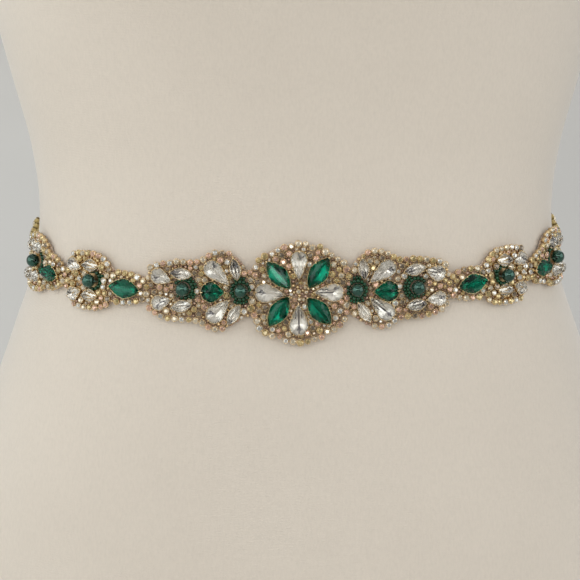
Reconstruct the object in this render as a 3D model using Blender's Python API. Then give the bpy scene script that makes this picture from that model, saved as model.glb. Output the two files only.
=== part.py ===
"""Jewelled bridal sash on a limbless dress form.

Row frame: metres, +Z up, front of the form towards -Y, origin under the middle of
the form's box, on the surface it stands on. Tables are in millimetres, with heights
counted from the natural waist.

Everything on the sash is laid out in belt coordinates:
    s  arc length round the waist from the centre front, + towards +X
    t  up the body from the belt's centreline
    n  out from the body's smooth surface
"""
import math

import bmesh
import bpy
import numpy as np
from mathutils import Matrix, Vector

# ---------------------------------------------------------------- driving sizes, mm
MM = 0.001
WAIST_HEIGHT = 280.0   # natural waist above the base
BODY_Y = -7.55         # moves the form's box over the origin
BELT_Z = -20.5         # belt centreline, from the natural waist
BELT_ROLL = 0.010      # rise of the belt's line towards +X, mm per mm
COLUMNS = 32           # facets round the form

CLOTH_IN, CLOTH_OUT = 0.5, 1.5     # backing and ribbon walls
LAP_LIFT = 1.3                     # the upper ribbon rides over the lower one
RIBBON_WIDTH = 12.0
RIBBON_START = 188.0               # arc length where the ribbon leaves the chain
LAP_HALF = 14.0                    # half the lap at the centre back
SETTING_IN = 1.8                   # underside of the stone settings
BORDER_TOP = 4.4
STONE_IN, STONE_TOP = 2.1, 6.3
CHAIN_START, CHAIN_END = 145.6, 194.0
CHAIN_IN, CHAIN_TOP, CHAIN_LIFT = 0.5, 4.1, 1.45   # on the form, then over the ribbon's end
# Height of the chain and the ribbon above the belt's line: arc length, left, right.
CHAIN_T = [(145.6, 5.8, 5.2), (150.0, 7.2, 6.2), (156.0, 7.8, 6.5), (172.0, 7.2, 6.0),
           (190.0, 6.8, 5.8), (240.0, 5.2, 4.8), (345.5, 4.0, 4.0), (400.0, 4.0, 4.0)]
OUTER_SHIFT, OUTER_FROM, OUTER_OVER = 2.0, 112.0, 16.0  # the right's outer motifs sit closer in

# Sections of the form: height, half width, depth in front, depth behind, roundness.
FORM = [
    (-280, 158, 100, 116, 2.25),
    (-240, 165, 103, 122, 2.25),
    (-190, 168, 105, 124, 2.30),
    (-140, 160, 103, 114, 2.35),
    (-100, 148, 99, 102, 2.45),
    (-60, 133.5, 94, 92, 2.55),
    (-30, 123.2, 89.5, 86, 2.65),
    (0, 119, 86.5, 83, 2.70),
    (30, 122, 86, 83, 2.65),
    (60, 129.5, 88.5, 85, 2.55),
    (90, 137, 93, 88, 2.40),
    (120, 142, 98, 92, 2.30),
    (150, 145, 101, 96, 2.25),
    (180, 147, 103, 100, 2.20),
    (210, 150, 101, 103, 2.20),
    (240, 155, 92, 105, 2.20),
    (270, 161, 82, 104, 2.20),
    (300, 167, 73, 100, 2.20),
    (330, 171, 64, 94, 2.20),
    (352, 166, 55, 86, 2.20),
    (370, 146, 49, 76, 2.15),
    (384, 116, 45, 67, 2.10),
    (396, 84, 42, 61, 2.05),
    (408, 62, 39, 58, 2.00),
    (424, 55, 37, 57, 2.00),
    (450, 53, 36, 56, 2.00),
    (460, 53, 36, 56, 2.00),
]
# Heights of the facets' rings, closest where the belt lies.
RINGS = [-280, -240, -190, -145, -105, -80, -65, -53, -43, -34, -25, -16, -7, 3, 15, 31, 55,
         85, 115, 145, 172, 200, 230, 262, 296, 326, 350, 368, 384, 398, 412, 430, 455]
BASE_CHAMFER = 4.0
BUST = {"out": 13.0, "x": 70.0, "z": 172.0, "across": 44.0, "up": 46.0}

# Outline of the backing strip, for one half: arc length, lower edge, upper edge.
BACKING = [
    (0.0, -22.3, 19.3), (4.0, -21.8, 19.0), (8.0, -20.5, 18.2), (11.6, -19.1, 16.8),
    (14.6, -17.5, 14.8), (17.2, -15.5, 12.5), (19.3, -12.8, 9.9), (20.8, -11.4, 8.4),
    (22.4, -11.4, 8.4), (24.2, -12.4, 11.4), (26.6, -14.0, 14.0), (30.0, -16.0, 15.8),
    (34.0, -16.8, 16.2), (37.2, -16.4, 15.7), (39.9, -15.1, 14.2), (42.0, -13.8, 12.6),
    (44.6, -13.1, 11.9), (48.0, -13.0, 12.1), (52.0, -13.0, 12.0), (55.8, -12.6, 11.3),
    (58.8, -12.0, 10.8), (61.4, -11.0, 10.2), (63.6, -9.4, 8.8), (65.2, -7.1, 6.2),
    (66.4, -5.4, 4.2), (69.4, -6.3, 4.9), (72.4, -7.0, 5.5), (75.4, -7.3, 5.9),
    (78.4, -7.2, 5.9), (80.6, -7.0, 5.8), (82.4, -7.8, 7.4), (84.4, -9.6, 9.4),
    (87.0, -10.9, 11.2), (90.0, -11.3, 12.2), (93.5, -11.4, 12.5), (97.5, -11.2, 12.0),
    (101.0, -10.2, 10.8), (103.8, -7.6, 8.4), (105.6, -4.2, 5.0), (107.4, -3.2, 3.2),
    (109.6, -4.4, 4.6), (113.0, -5.8, 6.3), (117.0, -6.5, 7.4), (119.8, -7.2, 9.4),
    (122.4, -8.2, 11.8), (125.5, -9.2, 13.2), (129.5, -9.7, 13.7), (133.5, -9.5, 13.6),
    (137.5, -8.6, 12.7), (141.0, -5.6, 11.4), (143.2, -1.0, 10.2), (144.8, 2.8, 9.4),
]

# Stones with straight axes: node, outline, arc length and height of the middle,
# axis angle in degrees (a teardrop points back along it), length, width, finish.
FLOWER_T = -0.8
FLOWER = [
    ("flower_clear_1", "teardrop", 13.0, -0.6, -3.0, 13.0, 7.8, "clear_crystal"),
    ("flower_clear_2", "teardrop", 0.2, 11.4, 90.0, 12.7, 7.1, "clear_crystal"),
    ("flower_clear_3", "teardrop", -12.2, -0.7, 175.0, 13.2, 8.3, "clear_crystal"),
    ("flower_clear_4", "teardrop", 0.1, -12.3, 270.0, 14.0, 8.3, "clear_crystal"),
    ("flower_green_1", "navette", 8.7, 8.1, 55.0, 16.3, 8.5, "green_crystal"),
    ("flower_green_2", "navette", -8.6, 7.3, 132.0, 16.0, 8.2, "green_crystal"),
    ("flower_green_3", "navette", -8.5, -8.6, 236.0, 16.0, 8.3, "green_crystal"),
    ("flower_green_4", "navette", 8.9, -8.6, 311.0, 15.7, 8.4, "green_crystal"),
]
# On the sides each stone is set by hand, so left and right differ a little: node, outline,
# width, finish, then length, arc length, height and angle on the left, and the same on the right.
SIDE = [
    ("inner_clear_1", "teardrop", 7.6, "clear_crystal", 14.0, 34.6, 7.0, 44, 13.9, 35.9, 6.7, 36),
    ("inner_clear_2", "navette", 5.0, "clear_crystal", 9.8, 27.1, 9.2, 79, 9.8, 28.0, 8.6, 97),
    ("inner_clear_3", "teardrop", 7.7, "clear_crystal",
     13.0, 34.1, -8.9, -45, 13.8, 35.5, -8.6, -42),
    ("inner_clear_4", "navette", 5.1, "clear_crystal",
     10.6, 27.7, -10.8, -59, 10.4, 28.2, -10.5, -59),
    ("inner_teardrop", "teardrop", 9.2, "green_crystal", 10.6, 36.6, -0.9, -3, 11.4, 37.6, -1.5, -1),
    ("second_clear_1", "teardrop", 7.0, "clear_crystal", 9.8, 59.0, 5.0, 22, 9.4, 59.3, 5.5, -17),
    ("second_clear_2", "navette", 5.4, "clear_crystal", 10.2, 50.5, 6.9, 5, 10.2, 50.3, 7.5, 9),
    ("second_clear_3", "teardrop", 6.6, "clear_crystal", 9.4, 58.8, -5.95, -18, 9.4, 59.5, -6.1, 3),
    ("second_clear_4", "navette", 5.4, "clear_crystal", 10.0, 50.2, -7.4, -15, 9.8, 50.8, -8.2, 7),
    ("link1_navette", "navette", 8.8, "green_crystal", 15.0, 75.7, -1.1, 4, 15.0, 76.4, -1.0, 7),
    ("link2_navette", "navette", 7.8, "green_crystal", 13.8, 117.6, -0.6, 0, 12.4, 117.3, -0.8, 0),
]
BEADS = [  # node, diameter, underside, then arc length and height on the left and on the right
    ("inner_bead", 6.0, 2.2, 24.8, -0.3, 25.2, -0.5),
    ("second_bead", 6.2, 2.2, 49.5, 0.2, 51.2, -0.5),
    ("rosette1_bead", 6.0, 3.0, 91.4, 0.9, 92.3, 0.8),
    ("rosette2_bead", 6.0, 3.0, 129.6, 2.6, 129.4, 1.9),
]
# Lines of small stones, as paths on the surface: arc length, height. The flower's ring runs
# wide between the green stones: angle round the flower's middle in degrees, radius.
FLOWER_RING = [
    (0, 20.4), (18, 22.2), (27, 22.7), (36, 22.2), (45, 21.6), (55, 21.4), (70, 20.8),
    (90, 20.4), (110, 20.8), (132, 20.8), (142, 21.6), (152, 21.9), (162, 21.4), (172, 20.6),
    (180, 20.3), (190, 20.4), (201, 21.1), (211, 22.1), (220, 22.8), (229, 22.3), (238, 21.6),
    (258, 21.6), (270, 21.8), (293, 21.5), (303, 22.1), (312, 22.7), (320, 23.0), (330, 22.8),
    (338, 22.1), (349, 21.1), (360, 20.4),
]
RING_HALF_WIDTH = 0.75
PAIR_TOP = [
    (29.8, 16.0), (32.0, 16.3), (34.4, 16.4), (37.2, 15.8), (39.9, 14.4), (42.0, 12.7),
    (44.6, 11.9), (48.0, 12.1), (52.0, 12.0), (55.8, 11.4), (58.9, 10.8), (61.4, 10.3),
    (63.8, 8.9),
]
PAIR_BOTTOM = [
    (64.0, -8.8), (62.5, -10.2), (60.4, -11.4), (57.6, -12.4), (54.4, -13.0), (51.4, -13.1),
    (48.6, -13.1), (45.8, -13.0), (43.0, -13.6), (40.6, -15.0), (38.2, -16.4), (35.2, -17.0),
    (32.6, -16.8),
]
LINK1_BORDER = [
    (78.6, 5.7), (76.6, 5.9), (74.2, 5.8), (71.2, 5.0), (68.4, 3.9), (66.4, 2.2),
    (65.5, 0.0), (65.5, -2.2), (66.6, -4.4), (68.8, -6.0), (71.4, -6.9), (74.4, -7.3),
    (77.4, -7.3), (79.0, -7.1),
]
LINK2_BORDER = [
    (118.4, 7.7), (114.6, 7.0), (111.2, 5.6), (108.8, 3.8), (107.4, 1.6), (107.2, -0.4),
    (108.2, -2.8), (110.4, -4.8), (113.4, -6.0), (117.2, -6.7),
]
# A rosette, from its middle: the plate's outline, its rims and its stones.
ROSETTE_S = {  # arc length, height
    "rosette1_setting": (92.0, 0.1),
    "rosette2_setting": (129.6, 1.3),
}
ROSETTE_PLATE = {
    "rosette1_setting": [
        (-7.4, -9.4, 8.6), (-4.6, -11.0, 11.2), (0.0, -11.4, 12.4), (4.2, -11.2, 12.4),
        (8.2, -10.0, 11.6), (11.2, -6.8, 9.4), (13.4, -2.4, 5.6)],
    "rosette2_setting": [
        (-3.8, -10.8, 11.6), (-2.0, -11.2, 12.2), (0.6, -11.4, 12.4), (4.2, -11.2, 12.4),
        (8.2, -10.0, 11.6), (11.4, -6.8, 9.4), (13.6, -2.4, 5.6)],
}
ROSETTE_RIMS = {
    "rosette1_setting": [[
        (10.4, 11.2), (7.8, 12.0), (4.2, 12.5), (0.2, 12.6), (-3.6, 12.0), (-6.6, 10.3),
        (-8.6, 7.6), (-8.6, 5.0), (-7.4, 2.6), (-6.3, 0.6), (-6.3, -1.6), (-7.6, -4.6),
        (-8.7, -7.2), (-7.4, -9.6), (-4.2, -11.0), (0.0, -11.4), (4.0, -11.5), (8.4, -11.0)]],
    "rosette2_setting": [
        [(10.4, 11.2), (7.8, 12.0), (4.2, 12.5), (0.2, 12.6), (-3.6, 12.0), (-6.6, 10.3),
         (-8.6, 7.6)],
        [(-7.4, -9.2), (-4.2, -10.8), (0.0, -11.4), (4.0, -11.5), (8.4, -11.0)]],
}
ROSETTE_STONES = [
    ("navette", 0.4, 7.4, 0.0, 8.2, 5.8), ("teardrop", 9.2, 6.4, 16.0, 8.4, 6.2),
    ("navette", 0.2, -6.1, 0.0, 8.0, 5.6), ("teardrop", 8.4, -6.2, -28.0, 8.2, 6.2),
]
PLATE_IN, PLATE_OUT = 1.8, 2.6

FINISHES = {  # colour, roughness, metallic
    "form_cloth": ((0.60, 0.54, 0.45), 0.85, 0.0),
    "backing_felt": ((0.66, 0.58, 0.44), 0.9, 0.0),
    "satin_ribbon": ((0.80, 0.75, 0.66), 0.4, 0.0),
    "gold_setting": ((0.62, 0.42, 0.14), 0.3, 1.0),
    "clear_crystal": ((0.86, 0.86, 0.83), 0.05, 0.3),
    "green_crystal": ((0.0, 0.15, 0.09), 0.05, 0.3),
    "green_glass": ((0.01, 0.07, 0.05), 0.08, 0.0),
}


# ---------------------------------------------------------------- the form's surface
_F = np.array(FORM, float)


def _slopes():
    x, y = _F[:, 0], _F[:, 1:]
    h, d = np.diff(x)[:, None], np.diff(y, axis=0) / np.diff(x)[:, None]
    m = np.empty_like(y)
    m[0], m[-1] = d[0], d[-1]
    m[1:-1] = (d[:-1] * h[1:] + d[1:] * h[:-1]) / (h[:-1] + h[1:])
    return m


_M = _slopes()


def section(z):
    """Half width, front depth, back depth and roundness at a height."""
    x = _F[:, 0]
    i = min(max(int(np.searchsorted(x, z)) - 1, 0), len(x) - 2)
    h = x[i + 1] - x[i]
    u = min(max((z - x[i]) / h, 0.0), 1.0)
    a = (1 + 2 * u) * (1 - u) ** 2
    b = u * (1 - u) ** 2
    c = u * u * (3 - 2 * u)
    d = u * u * (u - 1)
    return a * _F[i, 1:] + b * h * _M[i] + c * _F[i + 1, 1:] + d * h * _M[i + 1]


def ring_point(angle, z):
    """The point of the section at z in that direction; -90 degrees is the centre front."""
    half, front, back, power = section(z)
    c, s = math.cos(angle), math.sin(angle)
    depth = front if s < 0 else back
    r = ((abs(c) / half) ** power + (abs(s) / depth) ** power) ** (-1 / power)
    return r * c, r * s


def bust(x, z):
    b = BUST
    return b["out"] * (math.exp(-(((x - b["x"]) / b["across"]) ** 2))
                       + math.exp(-(((x + b["x"]) / b["across"]) ** 2))) * math.exp(
                           -(((z - b["z"]) / b["up"]) ** 2))


def inside(x, y, z):
    """Under 0 inside the form's smooth surface, 0 on it."""
    half, front, back, power = section(z)
    depth = front if y < 0 else back
    return (abs(x) / half) ** power + (abs(y) / depth) ** power - 1


def normal(x, y, z):
    e = 0.02
    g = np.array([inside(x + e, y, z) - inside(x - e, y, z),
                  inside(x, y + e, z) - inside(x, y - e, z),
                  inside(x, y, z + e) - inside(x, y, z - e)])
    return g / np.linalg.norm(g)


_ANGLES = np.linspace(-math.pi / 2, math.pi / 2, 1441)
_RING = np.array([ring_point(a, BELT_Z) for a in _ANGLES])
_ARC = np.concatenate([[0], np.cumsum(np.linalg.norm(np.diff(_RING, axis=0), axis=1))])
HALF_ROUND = float(_ARC[-1])


def belt(s, t, n):
    """The point at belt coordinates s, t, n, in millimetres from the natural waist."""
    s = (s + HALF_ROUND) % (2 * HALF_ROUND) - HALF_ROUND
    angle = float(np.interp(abs(s), _ARC, _ANGLES))
    x, y = ring_point(angle, BELT_Z)
    x = math.copysign(x, s)
    across = normal(x, y, BELT_Z)
    lean = math.hypot(across[0], across[1])
    flat = across[:2] / lean
    z = BELT_Z + BELT_ROLL * x + t * lean
    d = 0.0
    for _ in range(12):
        p = x + d * flat[0], y + d * flat[1]
        f = inside(p[0], p[1], z)
        g = (inside(p[0] + 0.01 * flat[0], p[1] + 0.01 * flat[1], z) - f) / 0.01
        d -= f / g
    p = np.array([x + d * flat[0], y + d * flat[1], z])
    return p + n * normal(*p)


def place(p):
    """Millimetres from the natural waist to the row frame's metres."""
    return Vector((p[0] * MM, (p[1] + BODY_Y) * MM, (p[2] + WAIST_HEIGHT) * MM))


def outer(side, s):
    """The right's outer motifs sit closer in than the left's."""
    u = min(max((s - OUTER_FROM) / OUTER_OVER, 0.0), 1.0)
    return s - (OUTER_SHIFT * u * u * (3 - 2 * u) if side > 0 else 0.0)


def chain_height(side, s):
    along, left, right = zip(*CHAIN_T)
    return float(np.interp(s, along, left if side < 0 else right))


def tangent_frame(s, t, n):
    """A matrix at belt coordinates: X along the belt, Y up the body, Z out."""
    at = belt(s, t, n)
    out = belt(s, t, n + 1.0) - at
    out /= np.linalg.norm(out)
    along = belt(s + 0.5, t, n) - belt(s - 0.5, t, n)
    along -= out * float(along @ out)
    along /= np.linalg.norm(along)
    up = np.cross(out, along)
    m = Matrix.Identity(4)
    for row in range(3):
        m[row][0], m[row][1], m[row][2] = along[row], up[row], out[row]
    m.translation = place(at)
    return m


# ---------------------------------------------------------------- making objects
def clear_scene():
    for obj in list(bpy.data.objects):
        bpy.data.objects.remove(obj, do_unlink=True)


def finish(name):
    mat = bpy.data.materials.get(name)
    if mat is None:
        colour, rough, metal = FINISHES[name]
        mat = bpy.data.materials.new(name)
        mat.use_nodes = True
        bsdf = mat.node_tree.nodes["Principled BSDF"]
        bsdf.inputs["Base Color"].default_value = (*colour, 1)
        bsdf.inputs["Roughness"].default_value = rough
        bsdf.inputs["Metallic"].default_value = metal
    return mat


def add_object(name, mesh, material, matrix=None):
    obj = bpy.data.objects.new(name, mesh)
    if not mesh.materials:
        mesh.materials.append(finish(material))
    if matrix is not None:
        obj.matrix_world = matrix
    obj.parent = SASH
    bpy.context.scene.collection.objects.link(obj)
    return obj


def mesh_from(name, points, faces, smooth=True):
    mesh = bpy.data.meshes.new(name)
    mesh.from_pydata([tuple(p) for p in points], [], faces)
    bm = bmesh.new()
    bm.from_mesh(mesh)
    bmesh.ops.recalc_face_normals(bm, faces=bm.faces)
    bm.to_mesh(mesh)
    bm.free()
    if smooth:
        mesh.shade_smooth()
        mesh.set_sharp_from_angle(angle=math.radians(35))
    return mesh


def rings_solid(name, rings, closed=False, smooth=True):
    """A closed body through rings of equal count; an open run of rings gets two end faces."""
    count = len(rings[0])
    points = [p for ring in rings for p in ring]
    faces = []
    steps = len(rings) if closed else len(rings) - 1
    for i in range(steps):
        j = (i + 1) % len(rings)
        for k in range(count):
            m = (k + 1) % count
            faces.append((i * count + k, i * count + m, j * count + m, j * count + k))
    if not closed:
        faces.append(tuple(range(count)))
        faces.append(tuple((len(rings) - 1) * count + k for k in reversed(range(count))))
    return mesh_from(name, points, faces, smooth)


def wall_solid(name, stations, rows, inner, outer):
    """A wall on the form: stations are (s, low, high), inner and outer give n at s."""
    rings = []
    for s, low, high in stations:
        ts = [low + (high - low) * r / rows for r in range(rows + 1)]
        ring = [place(belt(s, t, inner(s))) for t in ts]
        ring += [place(belt(s, t, outer(s))) for t in reversed(ts)]
        rings.append(ring)
    count, points = len(rings[0]), [p for ring in rings for p in ring]
    faces = []
    for i in range(len(rings) - 1):
        for k in range(count):
            m = (k + 1) % count
            faces.append((i * count + k, i * count + m, (i + 1) * count + m, (i + 1) * count + k))
    for base in (0, (len(rings) - 1) * count):
        for r in range(rows):
            a, b = base + r, base + count - 1 - r
            faces.append((a, a + 1, b - 1, b))
    return mesh_from(name, points, faces)


def smooth_path(points, spacing):
    """Points along a Catmull-Rom curve through the given ones, about spacing apart."""
    p = [np.array(q, float) for q in points]
    p = [2 * p[0] - p[1], *p, 2 * p[-1] - p[-2]]
    fine = []
    for a, b, c, d in zip(p, p[1:], p[2:], p[3:]):
        for u in np.linspace(0, 1, 8, endpoint=False):
            fine.append(0.5 * (2 * b + (c - a) * u + (2 * a - 5 * b + 4 * c - d) * u * u
                               + (3 * b - a - 3 * c + d) * u ** 3))
    fine.append(p[-2])
    fine = np.array(fine)
    along = np.concatenate([[0], np.cumsum(np.linalg.norm(np.diff(fine, axis=0), axis=1))])
    at = np.linspace(0, along[-1], max(3, round(along[-1] / spacing) + 1))
    return np.stack([np.interp(at, along, fine[:, k]) for k in (0, 1)], axis=1)


def flower_ring(count):
    """Points round the flower's ring."""
    angles, radii = zip(*FLOWER_RING)
    a = 360.0 * np.arange(count) / count
    r = np.interp(a, angles, radii)
    return np.stack([r * np.cos(np.radians(a)), FLOWER_T + r * np.sin(np.radians(a))], axis=1)


def line_of_stones(name, path, half_width, inner, outer, closed=False, lift=None):
    """A low ridge on the backing that follows a path of small set stones."""
    rings = []
    for i in range(len(path)):
        if closed:
            ahead, behind = path[(i + 1) % len(path)], path[i - 1]
        else:
            ahead, behind = path[min(i + 1, len(path) - 1)], path[max(i - 1, 0)]
        d = ahead - behind
        side = np.array([-d[1], d[0]]) / np.linalg.norm(d)
        ring = []
        for w, n in ((-1, inner), (1, inner), (0.72, outer), (-0.72, outer)):
            q = path[i] + side * w * half_width
            ring.append(place(belt(q[0], q[1], n + (lift[i] if lift else 0.0))))
        rings.append(ring)
    return rings_solid(name, rings, closed)


def outline(kind, length, width):
    """The stone's outline, counter-clockwise, its round end towards +X."""
    l, w = length / 2, width / 2
    if kind == "navette":
        return [(l, 0), (0.55 * l, 0.62 * w), (0, w), (-0.55 * l, 0.62 * w),
                (-l, 0), (-0.55 * l, -0.62 * w), (0, -w), (0.55 * l, -0.62 * w)]
    c = l - w
    turn = [(c + w * math.cos(a), w * math.sin(a)) for a in
            (math.radians(d) for d in (-108, -72, -36, 0, 36, 72, 108))]
    return turn + [(-0.42 * l, 0.56 * w), (-l, 0), (-0.42 * l, -0.56 * w)]


GEMS = {}


def gem(kind, length, width, bottom=STONE_IN, top=STONE_TOP):
    """A cut stone in its cup, about its own middle, from n = bottom to n = top."""
    key = (kind, length, width, bottom, top)
    if key not in GEMS:
        edge = outline(kind, length, width)
        rise = top - bottom
        levels = ((0.0, 0.9), (0.36 * rise, 1.0), (rise, 0.55))
        rings = [[(x * k * MM, y * k * MM, (bottom + h) * MM) for x, y in edge]
                 for h, k in levels]
        GEMS[key] = rings_solid(f"{kind}_{length:g}x{width:g}", rings, smooth=False)
    return GEMS[key]


def set_stone(name, kind, s, t, angle, length, width, material, **levels):
    turn = Matrix.Rotation(math.radians(angle), 4, "Z")
    return add_object(name, gem(kind, length, width, **levels), material,
                      tangent_frame(s, t, 0.0) @ turn)


def set_bead(name, s, t, diameter, bottom):
    bm = bmesh.new()
    bmesh.ops.create_icosphere(bm, subdivisions=2, radius=diameter / 2 * MM)
    mesh = bpy.data.meshes.new(name)
    bm.to_mesh(mesh)
    bm.free()
    mesh.shade_smooth()
    return add_object(name, mesh, "green_glass", tangent_frame(s, t, bottom + diameter / 2))


def union(target, others):
    """Joins the others into the target as one body."""
    for i, other in enumerate(others):
        cut = target.modifiers.new(f"join_{i}", "BOOLEAN")
        cut.operation, cut.solver, cut.object = "UNION", "EXACT", other
    graph = bpy.context.evaluated_depsgraph_get()
    mesh = bpy.data.meshes.new_from_object(target.evaluated_get(graph), depsgraph=graph)
    target.modifiers.clear()
    target.data = mesh
    for other in others:
        bpy.data.objects.remove(other, do_unlink=True)


# ---------------------------------------------------------------- the pieces
def make_form():
    """The torso, lofted through its sections, flat under the hips and at the neck."""
    angles = [-math.pi / 2 + math.copysign(float(np.interp(abs(s), _ARC, _ANGLES + math.pi / 2)), s)
              for s in (HALF_ROUND * (2 * k / COLUMNS - 1) for k in range(COLUMNS))]
    rings = []
    for z in [RINGS[0], RINGS[0] + BASE_CHAMFER, *RINGS[1:], FORM[-1][0]]:
        shrink = {RINGS[0]: 0.965, FORM[-1][0]: 0.9}.get(z, 1.0)
        ring = []
        for a in angles:
            x, y = ring_point(a, z)
            if y < 0:
                y -= bust(x, z) * min(1.0, -y / 40.0)
            ring.append(place((x * shrink, y * shrink, z)))
        rings.append(ring)
    add_object("form_body", rings_solid("form_body", rings), "form_cloth")


def make_cloth():
    """The backing strip and the two ribbons."""
    stations = [(-s, low, high) for s, low, high in reversed(BACKING[1:])]
    stations += [(outer(1, s), low, high) for s, low, high in BACKING]
    wall = wall_solid("backing", stations, 5, lambda s: CLOTH_IN, lambda s: CLOTH_OUT)
    add_object("backing", wall, "backing_felt")

    end = HALF_ROUND + LAP_HALF
    count = round((end - RIBBON_START) / 5.0)
    for name, side in (("ribbon_left", -1), ("ribbon_right", 1)):
        def lift(s, side=side):
            if side < 0:
                return 0.0
            u = min(max((s - (HALF_ROUND - LAP_HALF - 14.0)) / 12.0, 0.0), 1.0)
            return LAP_LIFT * u * u * (3 - 2 * u)
        run = [RIBBON_START + (end - RIBBON_START) * k / count for k in range(count + 1)]
        stations = [(side * s, chain_height(side, s) - RIBBON_WIDTH / 2,
                     chain_height(side, s) + RIBBON_WIDTH / 2) for s in run]
        wall = wall_solid(name, stations, 2, lambda s: CLOTH_IN + lift(s),
                          lambda s: CLOTH_OUT + lift(s))
        add_object(name, wall, "satin_ribbon")


def make_flower():
    mesh = line_of_stones("flower_border", flower_ring(48), RING_HALF_WIDTH, SETTING_IN,
                          BORDER_TOP, True)
    add_object("flower_border", mesh, "gold_setting")
    for name, kind, s, t, angle, length, width, material in FLOWER:
        set_stone(name, kind, s, t + FLOWER_T, angle, length, width, material)
    levels = ((SETTING_IN, 2.4), (3.6, 2.7), (5.2, 2.0), (5.9, 0.9))
    rings = [[(r * MM * math.cos(a), r * MM * math.sin(a), n * MM)
              for a in (2 * math.pi * k / 10 for k in range(10))] for n, r in levels]
    add_object("flower_centre", rings_solid("flower_centre", rings), "gold_setting",
               tangent_frame(0.0, FLOWER_T, 0.0))


def make_side(tag, side):
    first = 4 if side < 0 else 8   # the columns of this side
    for row in SIDE:
        name, kind, width, material = row[:4]
        length, s, t, angle = row[first:first + 4]
        set_stone(f"{name}_{tag}", kind, side * outer(side, s), t,
                  angle if side > 0 else 180 - angle, length, width, material)
    first = 3 if side < 0 else 5
    for row in BEADS:
        name, diameter, bottom = row[:3]
        s, t = row[first:first + 2]
        set_bead(f"{name}_{tag}", side * outer(side, s), t, diameter, bottom)
    for name, path, half_width in (("pair_top", PAIR_TOP, 0.95),
                                   ("pair_bottom", PAIR_BOTTOM, 0.85),
                                   ("link1_border", LINK1_BORDER, 1.0),
                                   ("link2_border", LINK2_BORDER, 1.0)):
        path = np.array([(side * outer(side, s), t) for s, t in smooth_path(path, 3.4)])
        mesh = line_of_stones(f"{name}_{tag}", path, half_width, SETTING_IN, BORDER_TOP)
        add_object(f"{name}_{tag}", mesh, "gold_setting")
    for name, (middle, rise) in ROSETTE_S.items():
        make_rosette(name, tag, side, outer(side, middle), rise)
    start, count = outer(side, CHAIN_START), 15
    run = [start + (CHAIN_END - start) * k / count for k in range(count + 1)]
    path = np.array([(side * s, chain_height(side, s)) for s in run])
    lift = [CHAIN_LIFT * float(np.interp(s, (RIBBON_START - 7.5, RIBBON_START - 1.5), (0, 1)))
            for s in run]
    mesh = line_of_stones(f"chain_{tag}", path, 1.5, CHAIN_IN, CHAIN_TOP, lift=lift)
    add_object(f"chain_{tag}", mesh, "gold_setting")


def make_rosette(name, tag, side, middle, rise):
    stations = [(side * (middle + d), low + rise, high + rise)
                for d, low, high in ROSETTE_PLATE[name]]
    plate = add_object(f"{name}_{tag}", wall_solid(name, stations, 4, lambda s: PLATE_IN,
                                                   lambda s: PLATE_OUT), "gold_setting")
    rims = [add_object("rim", line_of_stones(
        "rim", (smooth_path(line, 3.4) + (middle, rise)) * (side, 1), 1.0, PLATE_IN + 0.2,
        BORDER_TOP), "gold_setting") for line in ROSETTE_RIMS[name]]
    stones = [set_stone("stone", kind, side * (middle + d), t + rise,
                        angle if side > 0 else 180 - angle,
                        length, width, "gold_setting", bottom=2.3, top=6.1)
              for kind, d, t, angle, length, width in ROSETTE_STONES]
    union(plate, [*rims, *stones])


clear_scene()
SASH = bpy.data.objects.new("sash", None)
bpy.context.scene.collection.objects.link(SASH)
make_form()
make_cloth()
make_flower()
make_side("L", -1)
make_side("R", 1)
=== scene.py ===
"""The looks of the jewelled bridal sash on its limbless dress form.

Metres, +Z up, front towards -Y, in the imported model's frame. The tables are in
millimetres, in the belt coordinates of the part:
    s  arc length round the waist from the centre front, + towards +X
    t  up the body from the belt's centreline
    n  out from the body's smooth surface
"""
import math
import random

import bmesh
import bpy
import numpy as np
from mathutils import Matrix, Vector


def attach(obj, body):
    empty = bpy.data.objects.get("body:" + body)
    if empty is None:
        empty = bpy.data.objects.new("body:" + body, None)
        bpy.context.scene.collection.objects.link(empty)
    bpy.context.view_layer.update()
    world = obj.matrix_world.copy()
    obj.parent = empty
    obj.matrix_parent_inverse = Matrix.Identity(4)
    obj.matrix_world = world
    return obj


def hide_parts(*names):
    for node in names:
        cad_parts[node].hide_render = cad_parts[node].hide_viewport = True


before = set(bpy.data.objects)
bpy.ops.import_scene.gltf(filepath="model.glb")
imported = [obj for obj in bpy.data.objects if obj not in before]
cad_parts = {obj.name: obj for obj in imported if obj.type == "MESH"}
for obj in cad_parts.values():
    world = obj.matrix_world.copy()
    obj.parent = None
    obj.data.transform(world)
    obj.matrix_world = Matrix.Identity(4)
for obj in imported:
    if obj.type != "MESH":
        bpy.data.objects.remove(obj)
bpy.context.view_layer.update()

# ---------------------------------------------------------------- sizes, as in the part
MM = 0.001
WAIST_HEIGHT = 280.0   # natural waist above the base
BODY_Y = -7.55         # moves the form's box over the origin
BELT_Z = -20.5         # belt centreline, from the natural waist
BELT_ROLL = 0.010      # rise of the belt's line towards +X, mm per mm

CLOTH_IN, CLOTH_OUT = 0.5, 1.5     # backing and ribbon walls
LAP_LIFT = 1.3                     # the upper ribbon rides over the lower one
RIBBON_WIDTH = 12.0
RIBBON_START = 188.0               # arc length where the ribbon leaves the chain
LAP_HALF = 14.0                    # half the lap at the centre back
SETTING_IN = 1.8                   # underside of the stone settings
BORDER_TOP = 4.4
STONE_IN, STONE_TOP = 2.1, 6.3
CHAIN_START, CHAIN_END = 145.6, 194.0
CHAIN_IN, CHAIN_TOP, CHAIN_LIFT = 0.5, 4.1, 1.45   # on the form, then over the ribbon's end
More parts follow.
